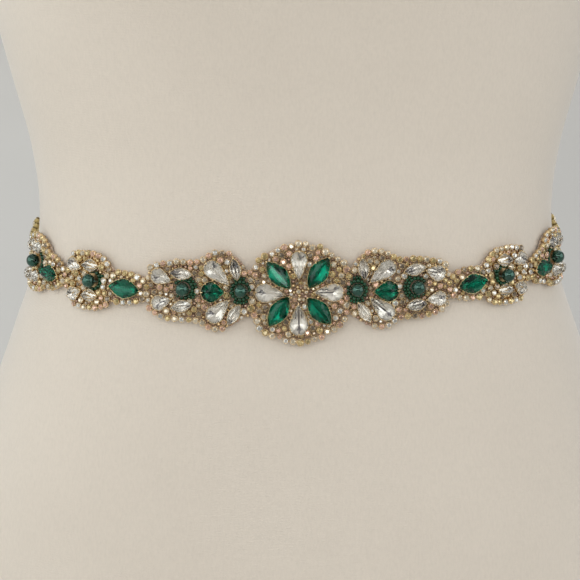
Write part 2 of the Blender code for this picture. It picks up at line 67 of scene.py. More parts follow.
# Height of the chain and the ribbon above the belt's line: arc length, left, right.
CHAIN_T = [(145.6, 5.8, 5.2), (150.0, 7.2, 6.2), (156.0, 7.8, 6.5), (172.0, 7.2, 6.0),
           (190.0, 6.8, 5.8), (240.0, 5.2, 4.8), (345.5, 4.0, 4.0), (400.0, 4.0, 4.0)]
OUTER_SHIFT, OUTER_FROM, OUTER_OVER = 2.0, 112.0, 16.0  # the right's outer motifs sit closer in

# Sections of the form: height, half width, depth in front, depth behind, roundness.
FORM = [
    (-280, 158, 100, 116, 2.25),
    (-240, 165, 103, 122, 2.25),
    (-190, 168, 105, 124, 2.30),
    (-140, 160, 103, 114, 2.35),
    (-100, 148, 99, 102, 2.45),
    (-60, 133.5, 94, 92, 2.55),
    (-30, 123.2, 89.5, 86, 2.65),
    (0, 119, 86.5, 83, 2.70),
    (30, 122, 86, 83, 2.65),
    (60, 129.5, 88.5, 85, 2.55),
    (90, 137, 93, 88, 2.40),
    (120, 142, 98, 92, 2.30),
    (150, 145, 101, 96, 2.25),
    (180, 147, 103, 100, 2.20),
    (210, 150, 101, 103, 2.20),
    (240, 155, 92, 105, 2.20),
    (270, 161, 82, 104, 2.20),
    (300, 167, 73, 100, 2.20),
    (330, 171, 64, 94, 2.20),
    (352, 166, 55, 86, 2.20),
    (370, 146, 49, 76, 2.15),
    (384, 116, 45, 67, 2.10),
    (396, 84, 42, 61, 2.05),
    (408, 62, 39, 58, 2.00),
    (424, 55, 37, 57, 2.00),
    (450, 53, 36, 56, 2.00),
    (460, 53, 36, 56, 2.00),
]
BASE_CHAMFER = 4.0
BUST = {"out": 13.0, "x": 70.0, "z": 172.0, "across": 44.0, "up": 46.0}

# Outline of the backing strip, for one half: arc length, lower edge, upper edge.
BACKING = [
    (0.0, -22.3, 19.3), (4.0, -21.8, 19.0), (8.0, -20.5, 18.2), (11.6, -19.1, 16.8),
    (14.6, -17.5, 14.8), (17.2, -15.5, 12.5), (19.3, -12.8, 9.9), (20.8, -11.4, 8.4),
    (22.4, -11.4, 8.4), (24.2, -12.4, 11.4), (26.6, -14.0, 14.0), (30.0, -16.0, 15.8),
    (34.0, -16.8, 16.2), (37.2, -16.4, 15.7), (39.9, -15.1, 14.2), (42.0, -13.8, 12.6),
    (44.6, -13.1, 11.9), (48.0, -13.0, 12.1), (52.0, -13.0, 12.0), (55.8, -12.6, 11.3),
    (58.8, -12.0, 10.8), (61.4, -11.0, 10.2), (63.6, -9.4, 8.8), (65.2, -7.1, 6.2),
    (66.4, -5.4, 4.2), (69.4, -6.3, 4.9), (72.4, -7.0, 5.5), (75.4, -7.3, 5.9),
    (78.4, -7.2, 5.9), (80.6, -7.0, 5.8), (82.4, -7.8, 7.4), (84.4, -9.6, 9.4),
    (87.0, -10.9, 11.2), (90.0, -11.3, 12.2), (93.5, -11.4, 12.5), (97.5, -11.2, 12.0),
    (101.0, -10.2, 10.8), (103.8, -7.6, 8.4), (105.6, -4.2, 5.0), (107.4, -3.2, 3.2),
    (109.6, -4.4, 4.6), (113.0, -5.8, 6.3), (117.0, -6.5, 7.4), (119.8, -7.2, 9.4),
    (122.4, -8.2, 11.8), (125.5, -9.2, 13.2), (129.5, -9.7, 13.7), (133.5, -9.5, 13.6),
    (137.5, -8.6, 12.7), (141.0, -5.6, 11.4), (143.2, -1.0, 10.2), (144.8, 2.8, 9.4),
]

# Stones with straight axes: node, outline, arc length and height of the middle,
# axis angle in degrees (a teardrop points back along it), length, width, finish.
FLOWER_T = -0.8
FLOWER = [
    ("flower_clear_1", "teardrop", 13.0, -0.6, -3.0, 13.0, 7.8, "clear_crystal"),
    ("flower_clear_2", "teardrop", 0.2, 11.4, 90.0, 12.7, 7.1, "clear_crystal"),
    ("flower_clear_3", "teardrop", -12.2, -0.7, 175.0, 13.2, 8.3, "clear_crystal"),
    ("flower_clear_4", "teardrop", 0.1, -12.3, 270.0, 14.0, 8.3, "clear_crystal"),
    ("flower_green_1", "navette", 8.7, 8.1, 55.0, 16.3, 8.5, "green_crystal"),
    ("flower_green_2", "navette", -8.6, 7.3, 132.0, 16.0, 8.2, "green_crystal"),
    ("flower_green_3", "navette", -8.5, -8.6, 236.0, 16.0, 8.3, "green_crystal"),
    ("flower_green_4", "navette", 8.9, -8.6, 311.0, 15.7, 8.4, "green_crystal"),
]
# On the sides each stone is set by hand, so left and right differ a little: node, outline,
# width, finish, then length, arc length, height and angle on the left, and the same on the right.
SIDE = [
    ("inner_clear_1", "teardrop", 7.6, "clear_crystal", 14.0, 34.6, 7.0, 44, 13.9, 35.9, 6.7, 36),
    ("inner_clear_2", "navette", 5.0, "clear_crystal", 9.8, 27.1, 9.2, 79, 9.8, 28.0, 8.6, 97),
    ("inner_clear_3", "teardrop", 7.7, "clear_crystal",
     13.0, 34.1, -8.9, -45, 13.8, 35.5, -8.6, -42),
    ("inner_clear_4", "navette", 5.1, "clear_crystal",
     10.6, 27.7, -10.8, -59, 10.4, 28.2, -10.5, -59),
    ("inner_teardrop", "teardrop", 9.2, "green_crystal", 10.6, 36.6, -0.9, -3, 11.4, 37.6, -1.5, -1),
    ("second_clear_1", "teardrop", 7.0, "clear_crystal", 9.8, 59.0, 5.0, 22, 9.4, 59.3, 5.5, -17),
    ("second_clear_2", "navette", 5.4, "clear_crystal", 10.2, 50.5, 6.9, 5, 10.2, 50.3, 7.5, 9),
    ("second_clear_3", "teardrop", 6.6, "clear_crystal", 9.4, 58.8, -5.95, -18, 9.4, 59.5, -6.1, 3),
    ("second_clear_4", "navette", 5.4, "clear_crystal", 10.0, 50.2, -7.4, -15, 9.8, 50.8, -8.2, 7),
    ("link1_navette", "navette", 8.8, "green_crystal", 15.0, 75.7, -1.1, 4, 15.0, 76.4, -1.0, 7),
    ("link2_navette", "navette", 7.8, "green_crystal", 13.8, 117.6, -0.6, 0, 12.4, 117.3, -0.8, 0),
]
BEADS = [  # node, diameter, underside, then arc length and height on the left and on the right
    ("inner_bead", 6.0, 2.2, 24.8, -0.3, 25.2, -0.5),
    ("second_bead", 6.2, 2.2, 49.5, 0.2, 51.2, -0.5),
    ("rosette1_bead", 6.0, 3.0, 91.4, 0.9, 92.3, 0.8),
    ("rosette2_bead", 6.0, 3.0, 129.6, 2.6, 129.4, 1.9),
]
# Lines of small stones, as paths on the surface: arc length, height. The flower's ring runs
# wide between the green stones: angle round the flower's middle in degrees, radius.
FLOWER_RING = [
    (0, 20.4), (18, 22.2), (27, 22.7), (36, 22.2), (45, 21.6), (55, 21.4), (70, 20.8),
    (90, 20.4), (110, 20.8), (132, 20.8), (142, 21.6), (152, 21.9), (162, 21.4), (172, 20.6),
    (180, 20.3), (190, 20.4), (201, 21.1), (211, 22.1), (220, 22.8), (229, 22.3), (238, 21.6),
    (258, 21.6), (270, 21.8), (293, 21.5), (303, 22.1), (312, 22.7), (320, 23.0), (330, 22.8),
    (338, 22.1), (349, 21.1), (360, 20.4),
]
RING_HALF_WIDTH = 0.75
PAIR_TOP = [
    (29.8, 16.0), (32.0, 16.3), (34.4, 16.4), (37.2, 15.8), (39.9, 14.4), (42.0, 12.7),
    (44.6, 11.9), (48.0, 12.1), (52.0, 12.0), (55.8, 11.4), (58.9, 10.8), (61.4, 10.3),
    (63.8, 8.9),
]
PAIR_BOTTOM = [
    (64.0, -8.8), (62.5, -10.2), (60.4, -11.4), (57.6, -12.4), (54.4, -13.0), (51.4, -13.1),
    (48.6, -13.1), (45.8, -13.0), (43.0, -13.6), (40.6, -15.0), (38.2, -16.4), (35.2, -17.0),
    (32.6, -16.8),
]
LINK1_BORDER = [
    (78.6, 5.7), (76.6, 5.9), (74.2, 5.8), (71.2, 5.0), (68.4, 3.9), (66.4, 2.2),
    (65.5, 0.0), (65.5, -2.2), (66.6, -4.4), (68.8, -6.0), (71.4, -6.9), (74.4, -7.3),
    (77.4, -7.3), (79.0, -7.1),
]
LINK2_BORDER = [
    (118.4, 7.7), (114.6, 7.0), (111.2, 5.6), (108.8, 3.8), (107.4, 1.6), (107.2, -0.4),
    (108.2, -2.8), (110.4, -4.8), (113.4, -6.0), (117.2, -6.7),
]
# A rosette, from its middle: the plate's outline, its rims and its stones.
ROSETTE_S = {  # arc length, height
    "rosette1_setting": (92.0, 0.1),
    "rosette2_setting": (129.6, 1.3),
}
ROSETTE_PLATE = {
    "rosette1_setting": [
        (-7.4, -9.4, 8.6), (-4.6, -11.0, 11.2), (0.0, -11.4, 12.4), (4.2, -11.2, 12.4),
        (8.2, -10.0, 11.6), (11.2, -6.8, 9.4), (13.4, -2.4, 5.6)],
    "rosette2_setting": [
        (-3.8, -10.8, 11.6), (-2.0, -11.2, 12.2), (0.6, -11.4, 12.4), (4.2, -11.2, 12.4),
        (8.2, -10.0, 11.6), (11.4, -6.8, 9.4), (13.6, -2.4, 5.6)],
}
ROSETTE_RIMS = {
    "rosette1_setting": [[
        (10.4, 11.2), (7.8, 12.0), (4.2, 12.5), (0.2, 12.6), (-3.6, 12.0), (-6.6, 10.3),
        (-8.6, 7.6), (-8.6, 5.0), (-7.4, 2.6), (-6.3, 0.6), (-6.3, -1.6), (-7.6, -4.6),
        (-8.7, -7.2), (-7.4, -9.6), (-4.2, -11.0), (0.0, -11.4), (4.0, -11.5), (8.4, -11.0)]],
    "rosette2_setting": [
        [(10.4, 11.2), (7.8, 12.0), (4.2, 12.5), (0.2, 12.6), (-3.6, 12.0), (-6.6, 10.3),
         (-8.6, 7.6)],
        [(-7.4, -9.2), (-4.2, -10.8), (0.0, -11.4), (4.0, -11.5), (8.4, -11.0)]],
}
ROSETTE_STONES = [
    ("navette", 0.4, 7.4, 0.0, 8.2, 5.8), ("teardrop", 9.2, 6.4, 16.0, 8.4, 6.2),
    ("navette", 0.2, -6.1, 0.0, 8.0, 5.6), ("teardrop", 8.4, -6.2, -28.0, 8.2, 6.2),
]
PLATE_IN, PLATE_OUT = 1.8, 2.6


# ---------------------------------------------------------------- the form's surface
_F = np.array(FORM, float)


def _slopes():
    x, y = _F[:, 0], _F[:, 1:]
    h, d = np.diff(x)[:, None], np.diff(y, axis=0) / np.diff(x)[:, None]
    m = np.empty_like(y)
    m[0], m[-1] = d[0], d[-1]
    m[1:-1] = (d[:-1] * h[1:] + d[1:] * h[:-1]) / (h[:-1] + h[1:])
    return m


_M = _slopes()


def section(z):
    """Half width, front depth, back depth and roundness at heights z, on the last axis."""
    z = np.asarray(z, float)
    x = _F[:, 0]
    i = np.clip(np.searchsorted(x, z) - 1, 0, len(x) - 2)
    h = (x[i + 1] - x[i])[..., None]
    u = np.clip((z[..., None] - x[i][..., None]) / h, 0, 1)
    a, b = (1 + 2 * u) * (1 - u) ** 2, u * (1 - u) ** 2
    c, d = u * u * (3 - 2 * u), u * u * (u - 1)
    return a * _F[i, 1:] + b * h * _M[i] + c * _F[i + 1, 1:] + d * h * _M[i + 1]


def ring_xy(angle, z):
    """The section's point at z in that direction; -90 degrees is the centre front."""
    half, front, back, power = np.moveaxis(section(z), -1, 0)
    c, s = np.cos(angle), np.sin(angle)
    depth = np.where(s < 0, front, back)
    r = ((np.abs(c) / half) ** power + (np.abs(s) / depth) ** power) ** (-1 / power)
    return r * c, r * s


def bust(x, z):
    b = BUST
    return b["out"] * (np.exp(-(((x - b["x"]) / b["across"]) ** 2))
                       + np.exp(-(((x + b["x"]) / b["across"]) ** 2))) * np.exp(
                           -(((z - b["z"]) / b["up"]) ** 2))


def inside(x, y, z):
    half, front, back, power = np.moveaxis(section(z), -1, 0)
    depth = np.where(y < 0, front, back)
    return (np.abs(x) / half) ** power + (np.abs(y) / depth) ** power - 1


def normal(x, y, z):
    e = 0.02
    g = np.stack([inside(x + e, y, z) - inside(x - e, y, z),
                  inside(x, y + e, z) - inside(x, y - e, z),
                  inside(x, y, z + e) - inside(x, y, z - e)], axis=-1)
    return g / np.linalg.norm(g, axis=-1, keepdims=True)


_ANGLES = np.linspace(-math.pi / 2, math.pi / 2, 1441)
_RING = np.stack(ring_xy(_ANGLES, np.full(1441, BELT_Z)), axis=-1)
_ARC = np.concatenate([[0], np.cumsum(np.linalg.norm(np.diff(_RING, axis=0), axis=1))])
HALF_ROUND = float(_ARC[-1])


def belt(s, t, n):
    """Points at belt coordinates, in millimetres from the natural waist."""
    s, t, n = (np.array(v, float) for v in np.broadcast_arrays(s, t, n))
    s = (s + HALF_ROUND) % (2 * HALF_ROUND) - HALF_ROUND
    angle = np.interp(np.abs(s), _ARC, _ANGLES)
    level = np.full(s.shape, BELT_Z)
    x, y = ring_xy(angle, level)
    x = np.copysign(x, s)
    across = normal(x, y, level)
    lean = np.hypot(across[..., 0], across[..., 1])
    fx, fy = across[..., 0] / lean, across[..., 1] / lean
    z = BELT_Z + BELT_ROLL * x + t * lean
    d = np.zeros(s.shape)
    for _ in range(8):
        f = inside(x + d * fx, y + d * fy, z)
        g = (inside(x + (d + 0.01) * fx, y + (d + 0.01) * fy, z) - f) / 0.01
        d -= f / g
    p = np.stack([x + d * fx, y + d * fy, z], axis=-1)
    return p + n[..., None] * normal(p[..., 0], p[..., 1], p[..., 2])


def place(p):
    """Millimetres from the natural waist to the frame's metres."""
    return (np.asarray(p, float) + (0.0, BODY_Y, WAIST_HEIGHT)) * MM


def axes(s, t):
    """Points on the surface with their directions along the belt, up and out."""
    s, t = (np.array(v, float) for v in np.broadcast_arrays(s, t))
    at = belt(s, t, 0.0)
    out = belt(s, t, 1.0) - at
    out /= np.linalg.norm(out, axis=-1, keepdims=True)
    along = belt(s + 0.5, t, 0.0) - belt(s - 0.5, t, 0.0)
    along -= out * np.sum(along * out, axis=-1, keepdims=True)
    along /= np.linalg.norm(along, axis=-1, keepdims=True)
    return at, along, np.cross(out, along), out


def outer(side, s):
    """The right's outer motifs sit closer in than the left's."""
    u = np.clip((np.asarray(s, float) - OUTER_FROM) / OUTER_OVER, 0.0, 1.0)
    return s - (OUTER_SHIFT * u * u * (3 - 2 * u) if side > 0 else 0.0)


def chain_height(side, s):
    along, left, right = zip(*CHAIN_T)
    return np.interp(s, along, left if side < 0 else right)


def smooth_path(points, spacing, closed=False):
    """Points along a Catmull-Rom curve through the given ones, about spacing apart."""
    p = [np.array(q, float) for q in points]
    p = [p[-1], *p, p[0], p[1]] if closed else [2 * p[0] - p[1], *p, 2 * p[-1] - p[-2]]
    fine = []
    for a, b, c, d in zip(p, p[1:], p[2:], p[3:]):
        for u in np.linspace(0, 1, 12, endpoint=False):
            fine.append(0.5 * (2 * b + (c - a) * u + (2 * a - 5 * b + 4 * c - d) * u * u
                               + (3 * b - a - 3 * c + d) * u ** 3))
    fine.append(p[-2])
    fine = np.array(fine)
    along = np.concatenate([[0], np.cumsum(np.linalg.norm(np.diff(fine, axis=0), axis=1))])
    at = np.linspace(0, along[-1], max(3, round(along[-1] / spacing) + 1))
    if closed:
        at = at[:-1]
    return np.stack([np.interp(at, along, fine[:, k]) for k in (0, 1)], axis=1)


# ---------------------------------------------------------------- materials
class Shader:
    """A material built round one Principled BSDF."""

    def __init__(self, name, **sockets):
        self.mat = bpy.data.materials.new(name)
        self.mat.use_nodes = True
        self.tree = self.mat.node_tree
        self.bsdf = self.tree.nodes["Principled BSDF"]
        for key, value in sockets.items():
            socket = self.bsdf.inputs[key.replace("_", " ")]
            socket.default_value = (*value, 1) if isinstance(value, tuple) else value

    def node(self, kind, inputs=(), **props):
        made = self.tree.nodes.new(kind)
        for key, value in props.items():
            setattr(made, key, value)
        for key, value in dict(inputs).items():
            socket = made.inputs[key]
            if isinstance(value, bpy.types.NodeSocket):
                self.tree.links.new(value, socket)
            else:
                socket.default_value = value
        return made

    def into(self, key, socket):
        self.tree.links.new(socket, self.bsdf.inputs[key])

    def where(self, scale=(1.0, 1.0, 1.0), uv=False):
        """Object or cloth coordinates, scaled."""
        coords = self.node("ShaderNodeTexCoord")
        return self.node("ShaderNodeMapping", {
            "Vector": coords.outputs["UV" if uv else "Object"], "Scale": scale}).outputs[0]

    def noise(self, where, scale, detail=2.0, rough=0.5):
        return self.node("ShaderNodeTexNoise", {
            "Vector": where, "Scale": scale, "Detail": detail, "Roughness": rough}).outputs[0]

    def ramp(self, fac, *stops):
        """A colour ramp through (position, colour) stops."""
        made = self.node("ShaderNodeValToRGB", {"Fac": fac})
        ramp = made.color_ramp
        while len(ramp.elements) < len(stops):
            ramp.elements.new(0.5)
        for element, (at, colour) in zip(ramp.elements, stops):
            element.position = at
            element.color = (*colour, 1) if isinstance(colour, tuple) else (colour,) * 3 + (1,)
        return made.outputs[0]

    def mix(self, fac, a, b, blend="MIX"):
        made = self.node("ShaderNodeMix", data_type="RGBA", blend_type=blend)
        for socket, value in zip((made.inputs[0], made.inputs[6], made.inputs[7]), (fac, a, b)):
            if isinstance(value, bpy.types.NodeSocket):
                self.tree.links.new(value, socket)
            else:
                socket.default_value = (*value, 1) if isinstance(value, tuple) else value
        return made.outputs[2]

    def bump(self, height, strength, distance, after=None):
        inputs = {"Height": height, "Strength": strength, "Distance": distance}
        if after is not None:
            inputs["Normal"] = after
        made = self.node("ShaderNodeBump", inputs)
        self.into("Normal", made.outputs[0])
        return made.outputs[0]


def jersey():
    """The form's cover: fine cream jersey, its knit just visible close up."""
    m = Shader("form_jersey", Roughness=0.93, Sheen_Weight=0.45, Sheen_Roughness=0.45,
               Specular_IOR_Level=0.25)
    here = m.where()
    tone = m.ramp(m.noise(here, 7.0, 3.0), (0.32, FORM_DARK), (0.68, FORM_LIGHT))
    fleck = m.ramp(m.noise(m.where((1.0, 1.0, 0.35)), 1100.0, 3.0, 0.6),
                   (0.25, 0.90), (0.62, 1.0))
    m.into("Base Color", m.mix(0.55, tone, fleck, "MULTIPLY"))
    ribs = m.node("ShaderNodeTexWave", {"Vector": here, "Scale": 260.0, "Distortion": 6.0,
                                        "Detail": 2.0, "Detail Scale": 3.0},
                  bands_direction="Z").outputs["Fac"]
    first = m.bump(m.noise(here, 1500.0, 2.0), 0.35, 0.00035)
    m.bump(ribs, 0.10, 0.0003, first)
    return m.mat


def felt():
    """The stiff backing: champagne felt with loose fibres."""
    m = Shader("backing_felt", Roughness=0.95, Sheen_Weight=0.3, Sheen_Roughness=0.6)
    here = m.where()
    m.into("Base Color", m.ramp(m.noise(here, 420.0, 6.0, 0.7), (0.30, (0.34, 0.235, 0.16)),
                                (0.52, (0.50, 0.365, 0.26)), (0.74, (0.66, 0.52, 0.39))))
    m.bump(m.noise(m.where((1.0, 1.0, 0.45)), 1900.0, 5.0, 0.7), 0.9, 0.0005)
    return m.mat


def satin():
    """Ribbon satin: long floats along the ribbon, a fine rib across."""
    m = Shader("satin_ribbon", Roughness=0.36, Sheen_Weight=0.35, Sheen_Roughness=0.35,
               Anisotropic=0.55, Specular_IOR_Level=0.6)
    cloth = m.where(uv=True)
    tone = m.noise(m.where((14.0, 900.0, 1.0), uv=True), 1.0, 3.0)
    m.into("Base Color", m.ramp(tone, (0.30, (0.66, 0.59, 0.48)), (0.70, (0.80, 0.74, 0.63))))
    warp = m.node("ShaderNodeTexWave", {"Vector": cloth, "Scale": 620.0, "Distortion": 0.6},
                  bands_direction="Y").outputs["Fac"]
    weft = m.node("ShaderNodeTexWave", {"Vector": cloth, "Scale": 260.0, "Distortion": 0.8},
                  bands_direction="X").outputs["Fac"]
    first = m.bump(warp, 0.30, 0.00012)
    m.bump(weft, 0.14, 0.0001, first)
    return m.mat


def gold(name, light, deep, rough):
    m = Shader(name, Metallic=1.0, Roughness=rough)
    here = m.where()
    m.into("Base Color", m.ramp(m.noise(here, 260.0, 3.0, 0.6), (0.32, deep), (0.66, light)))
    m.bump(m.noise(here, 2600.0, 2.0), 0.25, 0.00006)
    return m.mat


def cut_glass(name, colour, depth, ior, shine=0.42):
    """The transparent part of a stone."""
    m = Shader(name, Roughness=0.0, IOR=ior, Transmission_Weight=1.0, Specular_IOR_Level=shine)
    here = m.where()
    m.into("Base Color", m.ramp(m.noise(here, depth, 1.0), (0.35, colour),
                                (0.65, tuple(min(1.0, c * 1.05) for c in colour))))
    return m.mat


def foil(name, light, dark, rough, mirror):
    """The mirror behind a stone."""
    m = Shader(name, Metallic=mirror, Roughness=rough)
    m.into("Base Color", m.ramp(m.noise(m.where(), 150.0, 2.0), (0.36, dark), (0.62, light)))
    return m.mat


def tinted(name, rough, metallic):
    """Small set stones: each stone has its own tint."""
    m = Shader(name, Roughness=rough, Metallic=metallic, Coat_Weight=0.8, Coat_Roughness=0.03,
               Coat_IOR=1.55)
    tint = m.node("ShaderNodeAttribute", attribute_name="tint").outputs["Color"]
    cloud = m.ramp(m.noise(m.where(), 900.0, 2.0), (0.30, 0.86), (0.65, 1.0))
    m.into("Base Color", m.mix(1.0, tint, cloud, "MULTIPLY"))
    return m.mat


def bead_glass(name, dark, light, rough, mirror=0.0, ripple=0.08, coat=0.0):
    """Green glass; mirror is how much of it has a metal lustre inside."""
    m = Shader(name, Roughness=rough, IOR=1.45, Metallic=mirror, Coat_Weight=coat,
               Coat_Roughness=0.02)
    here = m.where()
    m.into("Base Color", m.ramp(m.noise(here, 320.0, 3.0), (0.35, dark), (0.70, light)))
    m.bump(m.noise(here, 900.0, 1.0), ripple, 0.0002)
    return m.mat


def thread_mat(name, dark, light):
    m = Shader(name, Roughness=0.7, Sheen_Weight=0.3)
    m.into("Base Color", m.ramp(m.noise(m.where(), 3000.0, 2.0), (0.35, dark), (0.65, light)))
    return m.mat


def stage_mat():
    m = Shader("pale_floor", Roughness=0.9, Specular_IOR_Level=0.2)
    across = m.node("ShaderNodeSeparateXYZ", {"Vector": m.where((0.5, 1.0, 1.0))}).outputs[0]
    # painted light: the floor is lighter at the left and darker at the right, as if lit from the
    # left
    tone = m.ramp(m.node("ShaderNodeMath", {0: across, 1: 0.5}, operation="ADD").outputs[0],
                  (0.0, FLOOR_LIT_LEFT), (1.0, FLOOR_SHADED_RIGHT))
    cloud = m.ramp(m.noise(m.where(), 1.2, 2.0), (0.3, 0.96), (0.7, 1.0))
    m.into("Base Color", m.mix(1.0, tone, cloud, "MULTIPLY"))
    return m.mat


FORM_DARK, FORM_LIGHT = (0.640, 0.566, 0.484), (0.680, 0.604, 0.518)
# Floor colours at the left and the right: painted light falling from the left.
FLOOR_LIT_LEFT, FLOOR_SHADED_RIGHT = (0.77, 0.745, 0.70), (0.445, 0.428, 0.405)

JERSEY, FELT, SATIN = jersey(), felt(), satin()
THREAD = thread_mat("sewing_thread", (0.55, 0.48, 0.38), (0.74, 0.68, 0.57))
GREEN_THREAD = thread_mat("green_thread", (0.02, 0.06, 0.035), (0.05, 0.12, 0.07))
GOLD = gold("gold_setting", (0.90, 0.71, 0.43), (0.62, 0.45, 0.24), 0.28)
GOLD_DULL = gold("gold_plate", (0.52, 0.37, 0.20), (0.30, 0.19, 0.09), 0.42)
GOLD_OLIVE = gold("gold_chain", (0.74, 0.60, 0.27), (0.42, 0.31, 0.10), 0.30)
# A darker gold for some of the chain's cups.
GOLD_CHAIN_DARK = gold("gold_chain_dark", (0.30, 0.22, 0.07), (0.12, 0.08, 0.02), 0.38)
ROSE = gold("rose_gold", (0.60, 0.43, 0.34), (0.36, 0.23, 0.17), 0.40)
CLEAR = cut_glass("clear_crystal", (0.98, 0.965, 0.93), 60.0, 1.50)
CLEAR_FOIL = foil("clear_foil", (0.90, 0.85, 0.775), (0.68, 0.635, 0.57), 0.22, 0.70)
# Near-black foil on a few back facets of the clear stones: painted dark reflection.
CLEAR_DARK = foil("clear_foil_painted_dark", (0.22, 0.20, 0.20), (0.10, 0.09, 0.09), 0.25, 0.70)
GREEN = cut_glass("green_crystal", (0.007, 0.385, 0.262), 60.0, 1.36, 0.30)
GREEN_FOIL = foil("green_foil", (0.19, 0.47, 0.375), (0.066, 0.20, 0.15), 0.14, 0.85)
# Near-black foil on a few back facets of the green stones: painted dark reflection.
GREEN_DARK = foil("green_foil_painted_dark", (0.03, 0.07, 0.05), (0.01, 0.03, 0.02), 0.22, 0.8)
SMALL = tinted("small_crystal", 0.12, 0.70)
GLASS = bead_glass("green_glass", (0.007, 0.044, 0.028), (0.016, 0.090, 0.060), 0.05, 0.65, 0.03,
                   0.7)
SEED = bead_glass("seed_glass", (0.004, 0.036, 0.013), (0.014, 0.085, 0.034), 0.16)

# ---------------------------------------------------------------- small meshes, mm
class Part:
    """Points, faces, a material number for each face and which faces are smooth."""

    def __init__(self):
        self.points, self.faces, self.mats, self.smooth = [], [], [], []

    def add(self, points, faces, mat=0, smooth=False):
        base = len(self.points)
        self.points += [tuple(p) for p in points]
        self.faces += [tuple(base + i for i in f) for f in faces]
        self.mats += mat if isinstance(mat, list) else [mat] * len(faces)
        self.smooth += [smooth] * len(faces)

    def rings(self, rings, mat=0, smooth=False, closed=True, caps=(True, True), loop=False):
        """A skin through rings of equal count, from the lowest ring to the highest."""
        count, points, faces = len(rings[0]), [p for r in rings for p in r], []
        steps = len(rings) if loop else len(rings) - 1
        for i in range(steps):
            j = (i + 1) % len(rings)
            for k in range(count if closed else count - 1):
                m = (k + 1) % count
                faces.append((i * count + k, i * count + m, j * count + m, j * count + k))
        if not loop and caps[0]:
            faces.append(tuple(reversed(range(count))))
        if not loop and caps[1]:
            faces.append(tuple((len(rings) - 1) * count + k for k in range(count)))
        self.add(points, faces, mat, smooth)

    def facing_out(self):
        """Turns every closed shell's faces outward."""
        bm = bmesh.new()
        verts = [bm.verts.new(p) for p in self.points]
        for f in self.faces:
            bm.faces.new([verts[i] for i in f])
        bm.verts.index_update()
        bmesh.ops.recalc_face_normals(bm, faces=bm.faces)
        bm.faces.ensure_lookup_table()
        self.faces = [tuple(v.index for v in f.verts) for f in bm.faces]
        bm.free()
        return self


def tube(part, path, radii, sides=6, mat=0, flat=1.0):
    """A round wire along a path, with a radius at each point."""
    path = np.asarray(path, float)
    ring_list, side_ref = [], None
    for i, p in enumerate(path):
        d = path[min(i + 1, len(path) - 1)] - path[max(i - 1, 0)]
        d = d / np.linalg.norm(d)
        if side_ref is None:
            side_ref = np.cross(d, (0, 0, 1.0))
            if np.linalg.norm(side_ref) < 0.1:
                side_ref = np.cross(d, (0, 1.0, 0))
        side_ref = side_ref - d * (side_ref @ d)
        side_ref = side_ref / np.linalg.norm(side_ref)
        up = np.cross(side_ref, d)
        ring_list.append([p + radii[i] * (side_ref * math.cos(a) + up * math.sin(a) * flat)
                          for a in (2 * math.pi * k / sides for k in range(sides))])
    # side_ref, up and the path's direction turn clockwise seen from ahead, so reverse
    part.rings([list(reversed(r)) for r in ring_list], mat, True)


def outline(kind, length, width, count):
    """count points, counter-clockwise from the round end at +X."""
    l, w = length / 2, width / 2
    if kind == "round":
        return [(w * math.cos(a), w * math.sin(a))
                for a in (2 * math.pi * k / count for k in range(count))]
    if kind == "navette":
        half = count // 2
        xs = [l * math.cos(math.pi * k / half) for k in range(half + 1)]
        xs = [x * (0.90 + 0.10 * abs(x) / l) for x in xs]
        top = [(x, w * max(0.0, 1 - (abs(x) / l) ** 1.75) ** 0.95) for x in xs]
        return top + [(x, -y) for x, y in reversed(top[1:-1])]
    c = l - w                      # teardrop: a round end and two sides that run to a point
    turn = math.radians(106)
    end = (c + w * math.cos(turn), w * math.sin(turn))
    bend = (-0.36 * l, 0.70 * w)
    arc = math.radians(106) * w
    fine = [(c + w * math.cos(a), w * math.sin(a)) for a in np.linspace(0, turn, 40)]
    for u in np.linspace(0, 1, 40)[1:]:
        fine.append(tuple((1 - u) ** 2 * np.array(end) + 2 * u * (1 - u) * np.array(bend)
                          + u * u * np.array((-l, 0.0))))
    fine = np.array(fine)
    along = np.concatenate([[0], np.cumsum(np.linalg.norm(np.diff(fine, axis=0), axis=1))])
    half = count // 2
    at = np.linspace(0, along[-1], half + 1)
    top = [(float(np.interp(d, along, fine[:, 0])), float(np.interp(d, along, fine[:, 1])))
           for d in at]
    return top + [(x, -y) for x, y in reversed(top[1:-1])]


def offset(edge, by):
    """An outline moved outward by a distance."""
    made = []
    for i, p in enumerate(edge):
        a, b = np.array(edge[i - 1]), np.array(edge[(i + 1) % len(edge)])
        d = b - a
        out = np.array([d[1], -d[0]]) / np.linalg.norm(d)
        made.append(tuple(np.array(p) + out * by))
    return made


def spine(kind, length, width, x):
    """Where the cut's lower facets meet, on the stone's long axis."""
    l, w = length / 2, width / 2
    if kind == "round":
        return 0.0
    if kind == "navette":
        return max(-0.62 * l, min(0.62 * l, 0.80 * x))
    return max(-0.70 * l, min(l - 1.25 * w, 0.92 * x - 0.10 * w))


